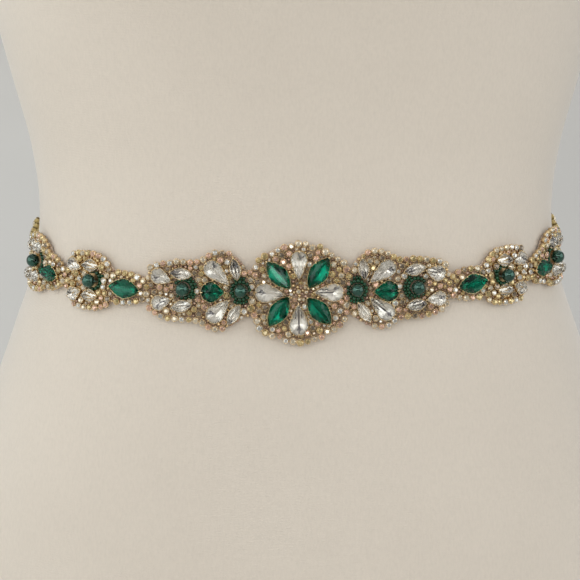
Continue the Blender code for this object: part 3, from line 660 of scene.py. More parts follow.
def cut_stone(part, kind, length, width, count, girdle, top, low, crown, back, painted_dark=(),
              table=0.50):
    """A brilliant-cut stone: table, kites, stars and girdle facets over a pointed back.

    The kites' lower corners are the even girdle points. crown and back are material numbers;
    the listed back facets, each with its material after it, get a near-black foil, a painted
    dark reflection, and -1 is the small flat at the foot.
    """
    edge = outline(kind, length, width, count)
    mains = count // 2
    rise = top - girdle

    def at(i, k, z):
        """Point i of the outline, half steps allowed, drawn in by k towards the spine."""
        a, b = edge[int(math.floor(i)) % count], edge[int(math.ceil(i)) % count]
        x, y = (a[0] + b[0]) / 2, (a[1] + b[1]) / 2
        c = spine(kind, length, width, x)
        return c + (x - c) * k, y * k, z

    points = [at(i, 1.0, girdle) for i in range(count)]
    points += [at(i, 1.0, girdle - 0.05 * rise - 0.08) for i in range(count)]
    points += [at(2 * j + 1, 0.80, girdle + 0.55 * rise) for j in range(mains)]
    points += [at(2 * j, table, top) for j in range(mains)]
    depth = girdle - low
    points += [at(2 * j + 1, 0.46, girdle - 0.62 * depth) for j in range(mains)]
    points += [at(2 * j, 0.10, low) for j in range(mains)]
    g0, mid, crest = count, 2 * count, 2 * count + mains
    lower, keel = crest + mains, crest + 2 * mains
    front, behind = [], []
    for j in range(mains):
        n, p = (j + 1) % mains, (j - 1) % mains
        a, b, c = 2 * j, 2 * j + 1, (2 * j + 2) % count
        front += [(crest + j, mid + p, a, mid + j), (crest + j, mid + j, crest + n),
                  (mid + j, a, b), (mid + j, b, c)]
        behind += [(keel + j, lower + j, g0 + a, lower + p), (keel + j, keel + n, lower + j),
                   (lower + j, g0 + b, g0 + a), (lower + j, g0 + c, g0 + b)]
    front.append(tuple(crest + j for j in range(mains)))
    front += [(k, g0 + k, g0 + (k + 1) % count, (k + 1) % count) for k in range(count)]
    behind.append(tuple(keel + j for j in reversed(range(mains))))
    # the listed back facets take the near-black foil: painted dark reflection
    backs = [back] * len(behind)
    for j, mat in painted_dark:
        if j < 0:
            backs[-1] = mat
        else:
            backs[4 * j] = backs[4 * j + 1] = mat
    part.add(points, front + behind, [crown] * len(front) + backs)
    return edge


def claw(part, edge, i, out, low, high, over, drop, radius, mat):
    """A small claw that stands on the cup and folds over the stone's edge at point i."""
    count = len(edge)
    a, b = np.array(edge[i - 1]), np.array(edge[(i + 1) % count])
    d = b - a
    away = np.array([d[1], -d[0]]) / np.linalg.norm(d)
    base = np.array(edge[i])
    run = [(out, low), (out + 0.05, high - 0.25), (out - 0.10, high + 0.12),
           (-0.45 * over, high + 0.30 * drop), (-over, high + drop)]
    path = [(*(base + away * r), z) for r, z in run]
    tube(part, path, [radius, radius, radius, radius * 0.95, radius * 0.45], 6, mat)


def cup(part, edge, foot, rim, mat, wall=0.34, flare=0.10):
    """A thin metal cup round a stone, with a rolled rim."""
    a, b = offset(edge, 0.05), offset(edge, wall)
    lip = offset(edge, wall + flare)
    mid = offset(edge, wall + 0.4 * flare)
    low = offset(edge, wall - 0.06)
    part.rings([[(x, y, foot) for x, y in low], [(x, y, 0.5 * (foot + rim)) for x, y in mid],
                [(x, y, rim - 0.18) for x, y in lip], [(x, y, rim) for x, y in b],
                [(x, y, rim - 0.06) for x, y in a], [(x * 0.96, y * 0.96, foot + 0.3)
                                                     for x, y in a]],
               mat, True, caps=(True, True))


CLAWS = {"teardrop": ((0, 0.34), (3, 0.26), (6, 0.26), (10, 0.34), (14, 0.26), (17, 0.26)),
         "navette": ((0, 0.32), (3, 0.24), (5, 0.24), (8, 0.32), (11, 0.24), (13, 0.24))}
COUNTS = {"teardrop": 20, "navette": 16}


def set_crystal(kind, length, width, painted_dark=(), bottom=1.7, top=6.2):
    """A cut stone in its cup, about its own middle: materials crown 0, back 1, metal 2."""
    part = Part()
    inner_l, inner_w = length - 0.10, width - 0.10
    girdle = bottom + 0.46 * (top - bottom)
    edge = cut_stone(part, kind, inner_l, inner_w, COUNTS[kind], girdle, top, bottom + 0.5, 0, 1,
                     painted_dark, 0.36)
    cup(part, edge, bottom, girdle + 0.02, 2, 0.20, 0.05)
    small = 0.78 if width < 6 else 1.0
    for i, radius in CLAWS[kind]:
        claw(part, edge, i, 0.14, girdle - 0.9, girdle + 0.12, 0.80 * small, 0.46 * small,
             radius * small, 2)
    return part


def round_setting():
    """A round stone 1 mm across in a deep cup with four claws: stone 0, metal 1."""
    part = Part()
    edge = outline("round", 0.90, 0.90, 12)
    rise = 0.26
    girdle = 0.10
    mains = 6
    mid = [(0.36 * math.cos(a), 0.36 * math.sin(a), girdle + 0.6 * rise)
           for a in (2 * math.pi * (2 * j + 1) / 12 for j in range(mains))]
    crest = [(0.24 * math.cos(a), 0.24 * math.sin(a), girdle + rise)
             for a in (2 * math.pi * 2 * j / 12 for j in range(mains))]
    g1 = [(x, y, girdle) for x, y in edge]
    points, faces = g1 + mid + crest, []
    for j in range(mains):
        n, p = (j + 1) % mains, (j - 1) % mains
        faces += [(18 + j, 12 + p, 2 * j, 12 + j), (18 + j, 12 + j, 18 + n),
                  (12 + j, 2 * j, 2 * j + 1), (12 + j, 2 * j + 1, (2 * j + 2) % 12)]
    faces.append(tuple(18 + j for j in range(mains)))
    low = [(x * 0.6, y * 0.6, girdle - 0.25) for x, y in edge]
    faces2 = [(k, (k + 1) % 12, 12 + (k + 1) % 12, 12 + k) for k in range(12)]
    part.add(points, faces, 0)
    part.add(low + g1, faces2 + [tuple(reversed(range(12)))], 0)
    wall = [(0.40, -0.50), (0.47, -0.10), (0.50, 0.06), (0.48, 0.11), (0.44, 0.09),
            (0.36, -0.30)]
    part.rings([[(r * math.cos(a), r * math.sin(a), z)
                 for a in (2 * math.pi * k / 12 for k in range(12))] for r, z in wall],
               1, True)
    for q in range(4):
        a = math.pi / 4 + q * math.pi / 2
        c, s = math.cos(a), math.sin(a)
        rings = []
        for r, z, h in ((0.50, -0.05, 0.070), (0.49, 0.16, 0.070), (0.42, 0.26, 0.055),
                        (0.37, 0.27, 0.030)):
            rings.append([(r * c - s * h, r * s + c * h, z), (r * c + s * h, r * s - c * h, z),
                          ((r - 0.06) * c + s * h, (r - 0.06) * s - c * h, z - 0.06),
                          ((r - 0.06) * c - s * h, (r - 0.06) * s + c * h, z - 0.06)])
        part.rings([list(reversed(r)) for r in rings], 1, True)
    return part


def bead_part(sides=12, hole=0.22, flat=0.80):
    """A round bead 1 mm across with its hole along X."""
    part = Part()
    profile = []
    for u in np.linspace(-1, 1, 8):
        a = u * math.radians(64)
        profile.append((0.5 * flat * math.sin(a) / math.sin(math.radians(64)),
                        0.5 * math.cos(a) ** 0.8))
    profile += [(0.5 * flat * 0.75, hole), (-0.5 * flat * 0.75, hole)]
    rings = [[(x, r * math.cos(a), r * math.sin(a))
              for a in (2 * math.pi * k / sides for k in range(sides))] for x, r in profile]
    part.rings(rings, 0, True, loop=True)
    return part


def ball(sides=8, rows=5):
    """A small metal ball 1 mm across."""
    part = Part()
    rings = [[(0.5 * math.cos(e) * math.cos(a), 0.5 * math.cos(e) * math.sin(a),
               0.5 * math.sin(e)) for a in (2 * math.pi * k / sides for k in range(sides))]
             for e in np.radians(np.linspace(-72, 76, rows))]
    part.rings(rings, 0, True)
    return part


def glass_bead(sides=40, rows=24, hole=0.13):
    """A pressed-glass bead 1 mm across, its hole along X, its ends a little flattened."""
    part = Part()
    profile = []
    for u in np.linspace(-1, 1, rows):
        a = u * math.radians(75)
        profile.append((0.485 * math.sin(a) / math.sin(math.radians(75)) * 0.97,
                        0.5 * math.cos(a)))
    profile += [(0.40, hole * 0.8), (-0.40, hole * 0.8)]
    rings = [[(x, r * math.cos(a), r * math.sin(a))
              for a in (2 * math.pi * k / sides for k in range(sides))] for x, r in profile]
    part.rings(rings, 0, True, loop=True)
    return part


# ---------------------------------------------------------------- pieces from many copies
class Batch:
    """Copies of small parts set on the belt, joined as one mesh."""

    def __init__(self, name, *mats):
        self.name, self.materials = name, mats
        self.points, self.faces, self.numbers, self.smooth, self.tints = [], [], [], [], []
        self.count = 0

    def raw(self, points, faces, numbers, smooth, tint=(1.0, 1.0, 1.0)):
        self.points.append(np.asarray(points, float))
        self.faces += [tuple(self.count + i for i in f) for f in faces]
        self.numbers += numbers
        self.smooth += smooth
        self.tints.append(np.tile((*tint, 1.0), (len(points), 1)))
        self.count += len(points)

    def copies(self, part, rows, slots=None):
        """rows: (s, t, angle in degrees, n, size, tint, tilt) for each copy."""
        if not rows:
            return
        at, along, up, out = axes([r[0] for r in rows], [r[1] for r in rows])
        part.facing_out()
        local = np.array(part.points, float)
        numbers = part.mats if slots is None else [slots[m] for m in part.mats]
        for k, row in enumerate(rows):
            a, size, n = math.radians(row[2]), row[4], row[3]
            tx, ty = row[6] if len(row) > 6 else (0.0, 0.0)
            x = (local[:, 0] * math.cos(a) - local[:, 1] * math.sin(a)) * size
            y = (local[:, 0] * math.sin(a) + local[:, 1] * math.cos(a)) * size
            z = local[:, 2] * size + n + tx * x + ty * y
            p = at[k] + x[:, None] * along[k] + y[:, None] * up[k] + z[:, None] * out[k]
            self.raw(place(p), part.faces, numbers, part.smooth,
                     row[5] if len(row) > 5 else (1.0, 1.0, 1.0))

    def build(self, slot, *nodes):
        mesh = bpy.data.meshes.new(self.name)
        points = np.concatenate(self.points)
        mesh.from_pydata(points.tolist(), [], self.faces)
        for mat in self.materials:
            mesh.materials.append(mat)
        mesh.polygons.foreach_set("material_index", self.numbers)
        mesh.polygons.foreach_set("use_smooth", self.smooth)
        tint = mesh.attributes.new("tint", "FLOAT_COLOR", "POINT")
        tint.data.foreach_set("color", np.concatenate(self.tints).astype(np.float32).ravel())
        mesh.update()
        return piece(self.name, mesh, slot, *nodes)


def piece(name, mesh, slot, *nodes):
    obj = bpy.data.objects.new(name, mesh)
    bpy.context.scene.collection.objects.link(obj)
    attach(obj, "root")
    if nodes:
        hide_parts(*nodes)
    return obj


RNG = random.Random(7)
CHAMPAGNE, PEACH, HONEY, ICE, SMOKE = ((0.70, 0.60, 0.45), (0.68, 0.43, 0.31),
                                       (0.58, 0.44, 0.20), (0.76, 0.73, 0.67),
                                       (0.26, 0.20, 0.14))


OUTER_TINTS = (0.16, 0.42, 0.08, 0.12)   # more honey on the links and rosettes
PAIR_TINTS = (0.22, 0.20, 0.22, 0.07)    # paler on the leaf motifs
EDGE_TINTS = (0.16, 0.28, 0.26, 0.03)    # pale and golden along the upper borders
RIM_TINTS = (0.14, 0.42, 0.16, 0.05)     # the same on the links and rosettes
TINTS = {"champagne": CHAMPAGNE, "peach": PEACH, "honey": HONEY, "ice": ICE, "smoke": SMOKE}


def small_tint(peach=0.24, honey=0.20, ice=0.14, smoke=0.16):
    """A tint for one small stone."""
    u = RNG.random()
    for share, colour in ((peach, PEACH), (honey, HONEY), (ice, ICE), (smoke, SMOKE),
                          (1.0, CHAMPAGNE)):
        if u < share:
            k = RNG.uniform(0.72, 1.12)
            return tuple(min(1.0, c * k) for c in colour)
        u -= share
    return CHAMPAGNE


def tilt(amount=0.06):
    return RNG.uniform(-amount, amount), RNG.uniform(-amount, amount)

# ---------------------------------------------------------------- the dress form
def make_form():
    """The torso's cover: a fine skin with sewn seams at the sides and the centre back."""
    quarter = float(np.interp(0.0, _ANGLES, _ARC))
    seams = (quarter, -quarter, HALF_ROUND)
    cols = list(np.linspace(-HALF_ROUND, HALF_ROUND, 241)[:-1])
    for seam in seams:
        cols += [seam + d for d in (-1.8, -1.0, -0.5, 0.0, 0.5, 1.0, 1.8)]
    cols = sorted({round((c + HALF_ROUND) % (2 * HALF_ROUND) - HALF_ROUND, 3) for c in cols})
    kept = [cols[0]]
    for c in cols[1:]:
        if c - kept[-1] > 0.35:
            kept.append(c)
    cols = np.array(kept)
    angles = -math.pi / 2 + np.copysign(np.interp(np.abs(cols), _ARC, _ANGLES + math.pi / 2),
                                        cols)
    low, high = FORM[0][0], FORM[-1][0]
    levels = [low, low + 0.3, low + 1.1, low + 2.4, low + 4.0, low + 6.5, low + 8.4, low + 9.0,
              low + 9.6, low + 12.0]
    levels += list(np.arange(low + 16.0, high - 14.0, 4.0))
    levels += [high - 12.0, high - 10.4, high - 10.0, high - 9.6, high - 7.0, high - 4.0,
               high - 2.2, high - 1.0, high - 0.3, high]
    points = []
    for z in levels:
        x, y = ring_xy(angles, np.full(len(angles), z))
        y = np.where(y < 0, y - bust(x, z) * np.minimum(1.0, -y / 40.0), y)
        edge = min(z - low, high - z)
        round_by = 4.0
        shrink = 1.0
        if edge < round_by:
            u = 1 - edge / round_by
            shrink = 1 - (0.034 if z < 0 else 0.10) * (1 - math.sqrt(max(0.0, 1 - u * u)))
        dent = 0.7 * math.exp(-((z - low - 9.0) / 0.5) ** 2)
        dent += 0.6 * math.exp(-((z - high + 10.0) / 0.5) ** 2)
        r = np.hypot(x, y)
        for seam in seams:
            away = np.abs((cols - seam + HALF_ROUND) % (2 * HALF_ROUND) - HALF_ROUND)
            dent = dent + 0.45 * np.exp(-(away / 0.6) ** 2) - 0.22 * np.exp(
                -((away - 1.1) / 0.6) ** 2)
        k = shrink * (r - dent) / r
        points.append(np.stack([x * k, y * k, np.full(len(x), z)], axis=-1))
    part = Part()
    rings = [list(p) for p in points]
    for inward in (0.93, 0.6, 0.25):
        rings.append([(p[0] * inward, p[1] * inward, high) for p in points[-1]])
    under = [[(p[0] * inward, p[1] * inward, low) for p in points[0]]
             for inward in (0.25, 0.6, 0.93)]
    part.rings(under + rings, 0, True)
    batch = Batch("dress_form", JERSEY)
    batch.raw(place(np.array(part.points)), part.faces, part.mats, part.smooth)
    return batch.build("form_cloth", "form_body")


# ---------------------------------------------------------------- cloth
def cloth_strip(name, mat, slot, node, stations, rows, inner, thick, edge=0.35, uv_from=0.0):
    """A thin strip on the form with rounded edges. stations: (s, low, high)."""
    stations = np.asarray(stations, float)
    across = np.linspace(0, 1, rows + 1)
    s = stations[:, 0:1]
    width = (stations[:, 2] - stations[:, 1])[:, None]
    t = stations[:, 1:2] + width * across[None, :]
    s = np.broadcast_to(s, t.shape)
    mid = inner(s, across[None, :]) + thick / 2
    face = belt(s, t, mid + thick / 2)
    back = belt(s, t, mid - thick / 2)
    top_edge = belt(s[:, -1], t[:, -1] + edge * thick, mid[:, -1])
    low_edge = belt(s[:, 0], t[:, 0] - edge * thick, mid[:, 0])
    points, faces, count = [], [], 2 * rows + 4
    for i in range(len(stations)):
        points += [*face[i], top_edge[i], *back[i][::-1], low_edge[i]]
    for i in range(len(stations) - 1):
        for k in range(count):
            m = (k + 1) % count
            faces.append((i * count + k, (i + 1) * count + k, (i + 1) * count + m, i * count + m))
    faces.append(tuple(range(count)))
    faces.append(tuple((len(stations) - 1) * count + k for k in reversed(range(count))))
    if stations[-1, 0] < stations[0, 0]:
        faces = [tuple(reversed(f)) for f in faces]
    mesh = bpy.data.meshes.new(name)
    mesh.from_pydata(place(np.array(points)).tolist(), [], faces)
    mesh.materials.append(mat)
    mesh.shade_smooth()
    uv = mesh.uv_layers.new(name="cloth")
    vs = list(across * float(np.max(width))) + [float(np.max(width))]
    vs = np.array(vs + list((across * float(np.max(width)))[::-1]) + [0.0])
    us = np.abs(stations[:, 0] - uv_from)
    loops = np.zeros(len(mesh.loops), np.int32)
    mesh.loops.foreach_get("vertex_index", loops)
    uv.data.foreach_set("uv", (np.stack([us[loops // count], vs[loops % count]], axis=1)
                               * MM).astype(np.float32).ravel())
    return piece(name, mesh, slot, *([node] if node else []))


def backing_outline():
    """Both halves' outline as fine stations (s, low, high)."""
    rows = [(-s, low, high) for s, low, high in reversed(BACKING[1:])]
    rows += [(float(outer(1, s)), low, high) for s, low, high in BACKING]
    low = smooth_path([(s, a) for s, a, _ in rows], 0.9)
    high = smooth_path([(s, b) for s, _, b in rows], 0.9)
    s = np.arange(rows[0][0], rows[-1][0] + 0.01, 1.0)
    s = np.append(s[:-1], rows[-1][0])
    # the felt is trimmed back under the outer borders' stones
    trim = 0.8 * np.clip((np.abs(s) - 104) / 6, 0, 1) * np.clip((140 - np.abs(s)) / 6, 0, 1)
    return np.stack([s, np.interp(s, low[:, 0], low[:, 1]),
                     np.interp(s, high[:, 0], high[:, 1]) - trim], axis=1)


def make_backing():
    stations = backing_outline()
    obj = cloth_strip("backing_strip", FELT, "backing_felt", "backing", stations, 14,
                      lambda s, u: np.full(np.broadcast_shapes(s.shape, u.shape), 0.55), 0.95)
    return obj


def ribbon_lift(side, s):
    """How far a ribbon rides off its usual level: the upper one over the lap."""
    s = np.abs(s)
    ease = lambda u: u * u * (3 - 2 * u)
    lift = 0.06 * np.sin(s * 0.071 + side) * ease(np.clip((s - RIBBON_START) / 20, 0, 1))
    if side > 0:
        lift = lift + LAP_LIFT * ease(np.clip((s - (HALF_ROUND - LAP_HALF - 14.0)) / 12.0, 0, 1))
    return lift


def make_ribbons():
    end = HALF_ROUND + LAP_HALF
    made = []
    for name, node, side in (("ribbon_left_satin", "ribbon_left", -1),
                             ("ribbon_right_satin", "ribbon_right", 1)):
        s = np.linspace(RIBBON_START, end, 150)
        middle = chain_height(side, s) + 0.18 * np.sin(s * 0.045 + side) * np.sin(
            math.pi * np.clip((s - RIBBON_START) / (end - RIBBON_START), 0, 1))
        half = RIBBON_WIDTH / 2 - 0.1 + 0.06 * np.sin(s * 0.21)
        stations = np.stack([side * s, middle - half, middle + half], axis=1)

        def inner(at, across, side=side):
            near = np.minimum(across, 1 - across) * RIBBON_WIDTH
            selvedge = 0.10 * np.exp(-((near - 0.55) / 0.30) ** 2)
            return 0.68 + ribbon_lift(side, at) + selvedge + 0.03 * np.sin(
                np.abs(at) * 0.35 + across * 5.0)
        obj = cloth_strip(name, SATIN, "satin_ribbon", node, stations, 20, inner, 0.52,
                          uv_from=side * RIBBON_START)
        made.append(obj)
    return made


def stitch(part_batch, ends, radius=0.14, rise=0.28):
    """One thread stitch between two points given as (s, t, n)."""
    (s0, t0, n0), (s1, t1, n1) = ends
    u = np.linspace(0, 1, 7)
    arch = rise * np.sin(math.pi * u) - 0.15 * (1 - np.sin(math.pi * u))
    path = belt(s0 + (s1 - s0) * u, t0 + (t1 - t0) * u, n0 + (n1 - n0) * u + arch)
    part = Part()
    tube(part, path, [radius] * 7, 6)
    part_batch.raw(place(np.array(part.points)), part.faces, part.mats, part.smooth)


def make_stitches():
    """The lap's hand stitches and those that hold the ribbons' ends."""
    batch = Batch("lap_stitches", THREAD)
    end = HALF_ROUND + LAP_HALF
    height = float(chain_height(1, end))
    top = 0.68 + LAP_LIFT + 0.52
    for k in range(7):
        t = height - 4.8 + 1.6 * k
        stitch(batch, ((end - 1.9, t + 0.25, top), (end + 0.25, t - 0.15, top - 1.2)))
    for k in range(6):
        s = end - 4.6 - 3.9 * k
        for edge in (-1, 1):
            t = height + edge * (RIBBON_WIDTH / 2 - 0.9)
            stitch(batch, ((s, t, top), (s - 1.9, t + 0.1 * edge, top)))
    for side in (-1, 1):
        middle = float(chain_height(side, RIBBON_START + 2))
        for k in range(6):
            t = middle - 4.6 + 1.84 * k
            s = RIBBON_START + 1.4
            stitch(batch, ((side * s, t, 1.24), (side * (s + 1.8), t + 0.2, 1.22)))
    return batch.build("satin_ribbon")


# ---------------------------------------------------------------- the large stones
BIG = []      # (kind, s, t, angle, length, width) of every large stone, for the fill
ROUND = []    # (s, t, radius) of every bead and small stone


def big_stone(name, kind, s, t, angle, length, width, colour, node=None, batch=None):
    BIG.append((kind, s, t, angle, length, width))
    mains = COUNTS[kind] // 2
    # one back facet of each stone, and the foot of some clear stones, take the near-black foil:
    # painted dark reflection
    painted_dark = RNG.choice((0, 1, mains - 1) if kind == "teardrop" else range(mains))
    eye = [(-1, 4)] if colour == "clear_crystal" and len(BIG) % 3 == 1 else []
    part = set_crystal(kind, length, width, [(painted_dark, 4)] + eye)
    turn = angle + RNG.uniform(-1.5, 1.5)
    row = (s, t, turn, 0.0, 1.0, (1.0, 1.0, 1.0), tilt(0.035))
    if batch is not None:
        batch.copies(part, [row])
        return None
    mats = ((CLEAR, CLEAR_FOIL, GOLD, SMALL, CLEAR_DARK) if colour == "clear_crystal"
            else (GREEN, GREEN_FOIL, GOLD, SMALL, GREEN_DARK))
    made = Batch(name, *mats)
    made.copies(part, [row])
    return made.build(colour, node)


def make_big_stones():
    for name, kind, s, t, angle, length, width, colour in FLOWER:
        big_stone(f"{name}_stone", kind, s, t + FLOWER_T, angle, length, width, colour, name)
    for tag, side in (("L", -1), ("R", 1)):
        first = 4 if side < 0 else 8
        for row in SIDE:
            name, kind, width, colour = row[:4]
            length, s, t, angle = row[first:first + 4]
            big_stone(f"{name}_{tag}_stone", kind, side * float(outer(side, s)), t,
                      angle if side > 0 else 180 - angle, length, width, colour,
                      f"{name}_{tag}")


def make_beads():
    """The eight green glass beads, each sewn down through its hole."""
    part = glass_bead()
    for tag, side in (("L", -1), ("R", 1)):
        first = 3 if side < 0 else 5
        for row in BEADS:
            name, diameter, bottom = row[:3]
            s, t = side * float(outer(side, row[first])), row[first + 1]
            batch = Batch(f"{name}_{tag}_glass", GLASS, GREEN_THREAD)
            batch.copies(part, [(s, t, RNG.uniform(-14, 14), bottom + diameter / 2, diameter)])
            wire = Part()
            half = diameter / 2
            tube(wire, [(-half * 1.12, 0, -half * 0.8), (-half * 1.08, 0, -half * 0.3),
                        (-half * 0.9, 0, 0), (0, 0, 0), (half * 0.9, 0, 0),
                        (half * 1.08, 0, -half * 0.3), (half * 1.12, 0, -half * 0.8)],
                 [0.16] * 7, 6)
            batch.copies(wire, [(s, t, 0.0, bottom + half, 1.0)], slots=[1])
            batch.build("green_glass", f"{name}_{tag}")
            ROUND.append((s, t, diameter / 2 + 0.05))


# ---------------------------------------------------------------- lines of small stones
SMALL_CUP = round_setting()
SEED_BEAD = bead_part()
BALL = ball()


def along_path(path, pitch, size, closed=False, wobble=0.0, tints=(), vary=(0.90, 1.09)):
    """Rows for set stones along a path, each in a deep cup."""
    p = smooth_path(path, pitch, closed)
    rows = []
    for i, (s, t) in enumerate(p):
        a = p[(i + 1) % len(p)] if closed or i + 1 < len(p) else p[i]
        b = p[i - 1] if closed or i else p[i]
        d = a - b
        angle = math.degrees(math.atan2(d[1], d[0])) + 45
        k = size * RNG.uniform(*vary)
        out = RNG.uniform(-wobble, wobble)
        side = np.array([-d[1], d[0]]) / np.linalg.norm(d)
        s2, t2 = s + side[0] * out, t + side[1] * out
        rows.append((s2, t2, angle, 1.75 + 0.5 * k + RNG.uniform(-0.05, 0.12), k,
                     small_tint(*tints), tilt(0.10)))
        ROUND.append((s2, t2, k / 2))
    return rows


def make_borders():
    angles, radii = zip(*FLOWER_RING)
    path = [(r * math.cos(math.radians(a)), FLOWER_T + r * math.sin(math.radians(a)))
            for a, r in ((a, float(np.interp(a, angles, radii))) for a in range(0, 360, 8))]
    batch = Batch("flower_border_stones", SMALL, GOLD)
    batch.copies(SMALL_CUP, along_path(path, 3.08, 3.0, True, 0.75, (0.22, 0.24, 0.22, 0.06),
                                       (0.80, 1.16)))
    batch.build("gold_setting", "flower_border")
    for tag, side in (("L", -1), ("R", 1)):
        for name, path in (("pair_top", PAIR_TOP), ("pair_bottom", PAIR_BOTTOM),
                           ("link1_border", LINK1_BORDER), ("link2_border", LINK2_BORDER)):
            path = [(side * float(outer(side, s)), t) for s, t in path]
            batch = Batch(f"{name}_{tag}_stones", SMALL, GOLD)
            batch.copies(SMALL_CUP, along_path(path, 2.92, 2.82, False, 0.28,
                                               RIM_TINTS if name[0] == "l" else
                                               EDGE_TINTS if name == "pair_top" else PAIR_TINTS))
            batch.build("gold_setting", f"{name}_{tag}")


def make_flower_centre():
    """A ring of gold beads round a small set stone."""
    batch = Batch("flower_centre_cluster", SMALL, GOLD, ROSE)
    batch.copies(SMALL_CUP, [(0.0, FLOWER_T, 20.0, 3.5, 2.3, CHAMPAGNE, tilt())])
    rows = []
    for k in range(8):
        a = 2 * math.pi * k / 8 + 0.2
        rows.append((1.85 * math.cos(a), FLOWER_T + 1.85 * math.sin(a), 0.0,
                     2.7 + 0.25 * (k % 2), 1.25 if k % 2 else 1.5))
    batch.copies(BALL, rows[::2], slots=[1])
    batch.copies(BALL, rows[1::2], slots=[2])
    batch.build("gold_setting", "flower_centre")
    ROUND.append((0.0, FLOWER_T, 2.5))


def make_rosettes():
    for tag, side in (("L", -1), ("R", 1)):
        for node, (middle, rise) in ROSETTE_S.items():
            middle = float(outer(side, middle))
            batch = Batch(f"{node}_{tag}_stones", CLEAR, CLEAR_FOIL, GOLD, SMALL, CLEAR_DARK)
            for line in ROSETTE_RIMS[node]:
                path = [(side * (middle + d), t + rise) for d, t in line]
                batch.copies(SMALL_CUP, along_path(path, 2.85, 2.72, False, 0.20, RIM_TINTS),
                             slots=[3, 2])
            for kind, d, t, angle, length, width in ROSETTE_STONES:
                big_stone("stone", kind, side * (middle + d), t + rise,
                          angle if side > 0 else 180 - angle, length, width,
                          "clear_crystal", batch=batch)
            batch.build("gold_setting", f"{node}_{tag}")
            rows = np.array(ROSETTE_PLATE[node])
            s = np.arange(rows[0, 0] + 0.3, rows[-1, 0] - 0.2, 0.9)
            stations = np.stack([side * (middle + s), np.interp(s, rows[:, 0], rows[:, 1]) + rise
                                 + 0.3, np.interp(s, rows[:, 0], rows[:, 2]) + rise - 0.3], axis=1)
            cloth_strip(f"{node}_{tag}_plate", GOLD_DULL, "gold_setting", None, stations, 8,
                        lambda s, u: np.full(np.broadcast_shapes(s.shape, u.shape), 1.82), 0.5)


def make_chains():
    """A single row of set stones from the last rosette round to the ribbon."""
    for tag, side in (("L", -1), ("R", 1)):
        start = float(outer(side, CHAIN_START)) + 1.3
        count = round((CHAIN_END - 1.2 - start) / 3.55)
        batch = Batch(f"chain_{tag}_stones", SMALL, GOLD_OLIVE, GOLD_CHAIN_DARK)
        rows, links = [], []
        for k in range(count + 1):
            s = start + (CHAIN_END - 1.2 - start) * k / count
            lift = (CHAIN_LIFT - 0.3) * float(np.interp(s, (RIBBON_START - 7.5,
                                                            RIBBON_START - 1.5), (0, 1)))
            t = float(chain_height(side, s))
            rows.append((side * s, t, 45.0, CHAIN_IN + lift + 2.50, 3.10,
                         small_tint(0.1, 0.15, 0.35, 0.05), tilt(0.03)))
            links.append((s, t, CHAIN_IN + lift + 0.55))    # the cups stand on it
            ROUND.append((side * s, t, 1.4))
        batch.copies(SMALL_CUP, [r for k, r in enumerate(rows) if k % 3 != 1])
        # every third cup's metal is the darker chain gold
        batch.copies(SMALL_CUP, rows[1::3], slots=[0, 2])
        for (s0, t0, n0), (s1, t1, n1) in zip(links, links[1:]):
            path = belt(side * np.linspace(s0, s1, 4), np.linspace(t0, t1, 4),
                        np.linspace(n0, n1, 4))
            wire = Part()
            tube(wire, path, [0.58] * 4, 6)
            batch.raw(place(np.array(wire.points)), wire.faces, [1] * len(wire.faces),
                      wire.smooth)
        batch.build("gold_setting", f"chain_{tag}")

# ---------------------------------------------------------------- what fills the gaps
SEEDS = [   # dark seed beads round each green bead: bead, angles, how far out, count, diameter
    # an angle of 0 points away from the flower, 180 towards it
    ("inner_bead", 0, 360, 3.90, 15, 1.95), ("inner_bead", 55, 125, 5.40, 5, 1.45),
    ("inner_bead", 235, 305, 5.40, 5, 1.45), ("second_bead", 95, 265, 4.00, 8, 1.90),
    ("second_bead", 118, 242, 5.55, 8, 1.60), ("second_bead", 30, 95, 3.95, 3, 1.70),
    ("second_bead", 265, 320, 3.95, 2, 1.70), ("rosette1_bead", 110, 250, 3.95, 6, 1.90),
    ("rosette1_bead", 145, 215, 5.35, 4, 1.55), ("rosette1_bead", 250, 300, 3.85, 2, 1.60),
    ("rosette1_bead", 60, 105, 3.85, 2, 1.60), ("rosette2_bead", 110, 250, 3.95, 6, 1.90),
    ("rosette2_bead", 60, 110, 3.85, 2, 1.60),
]
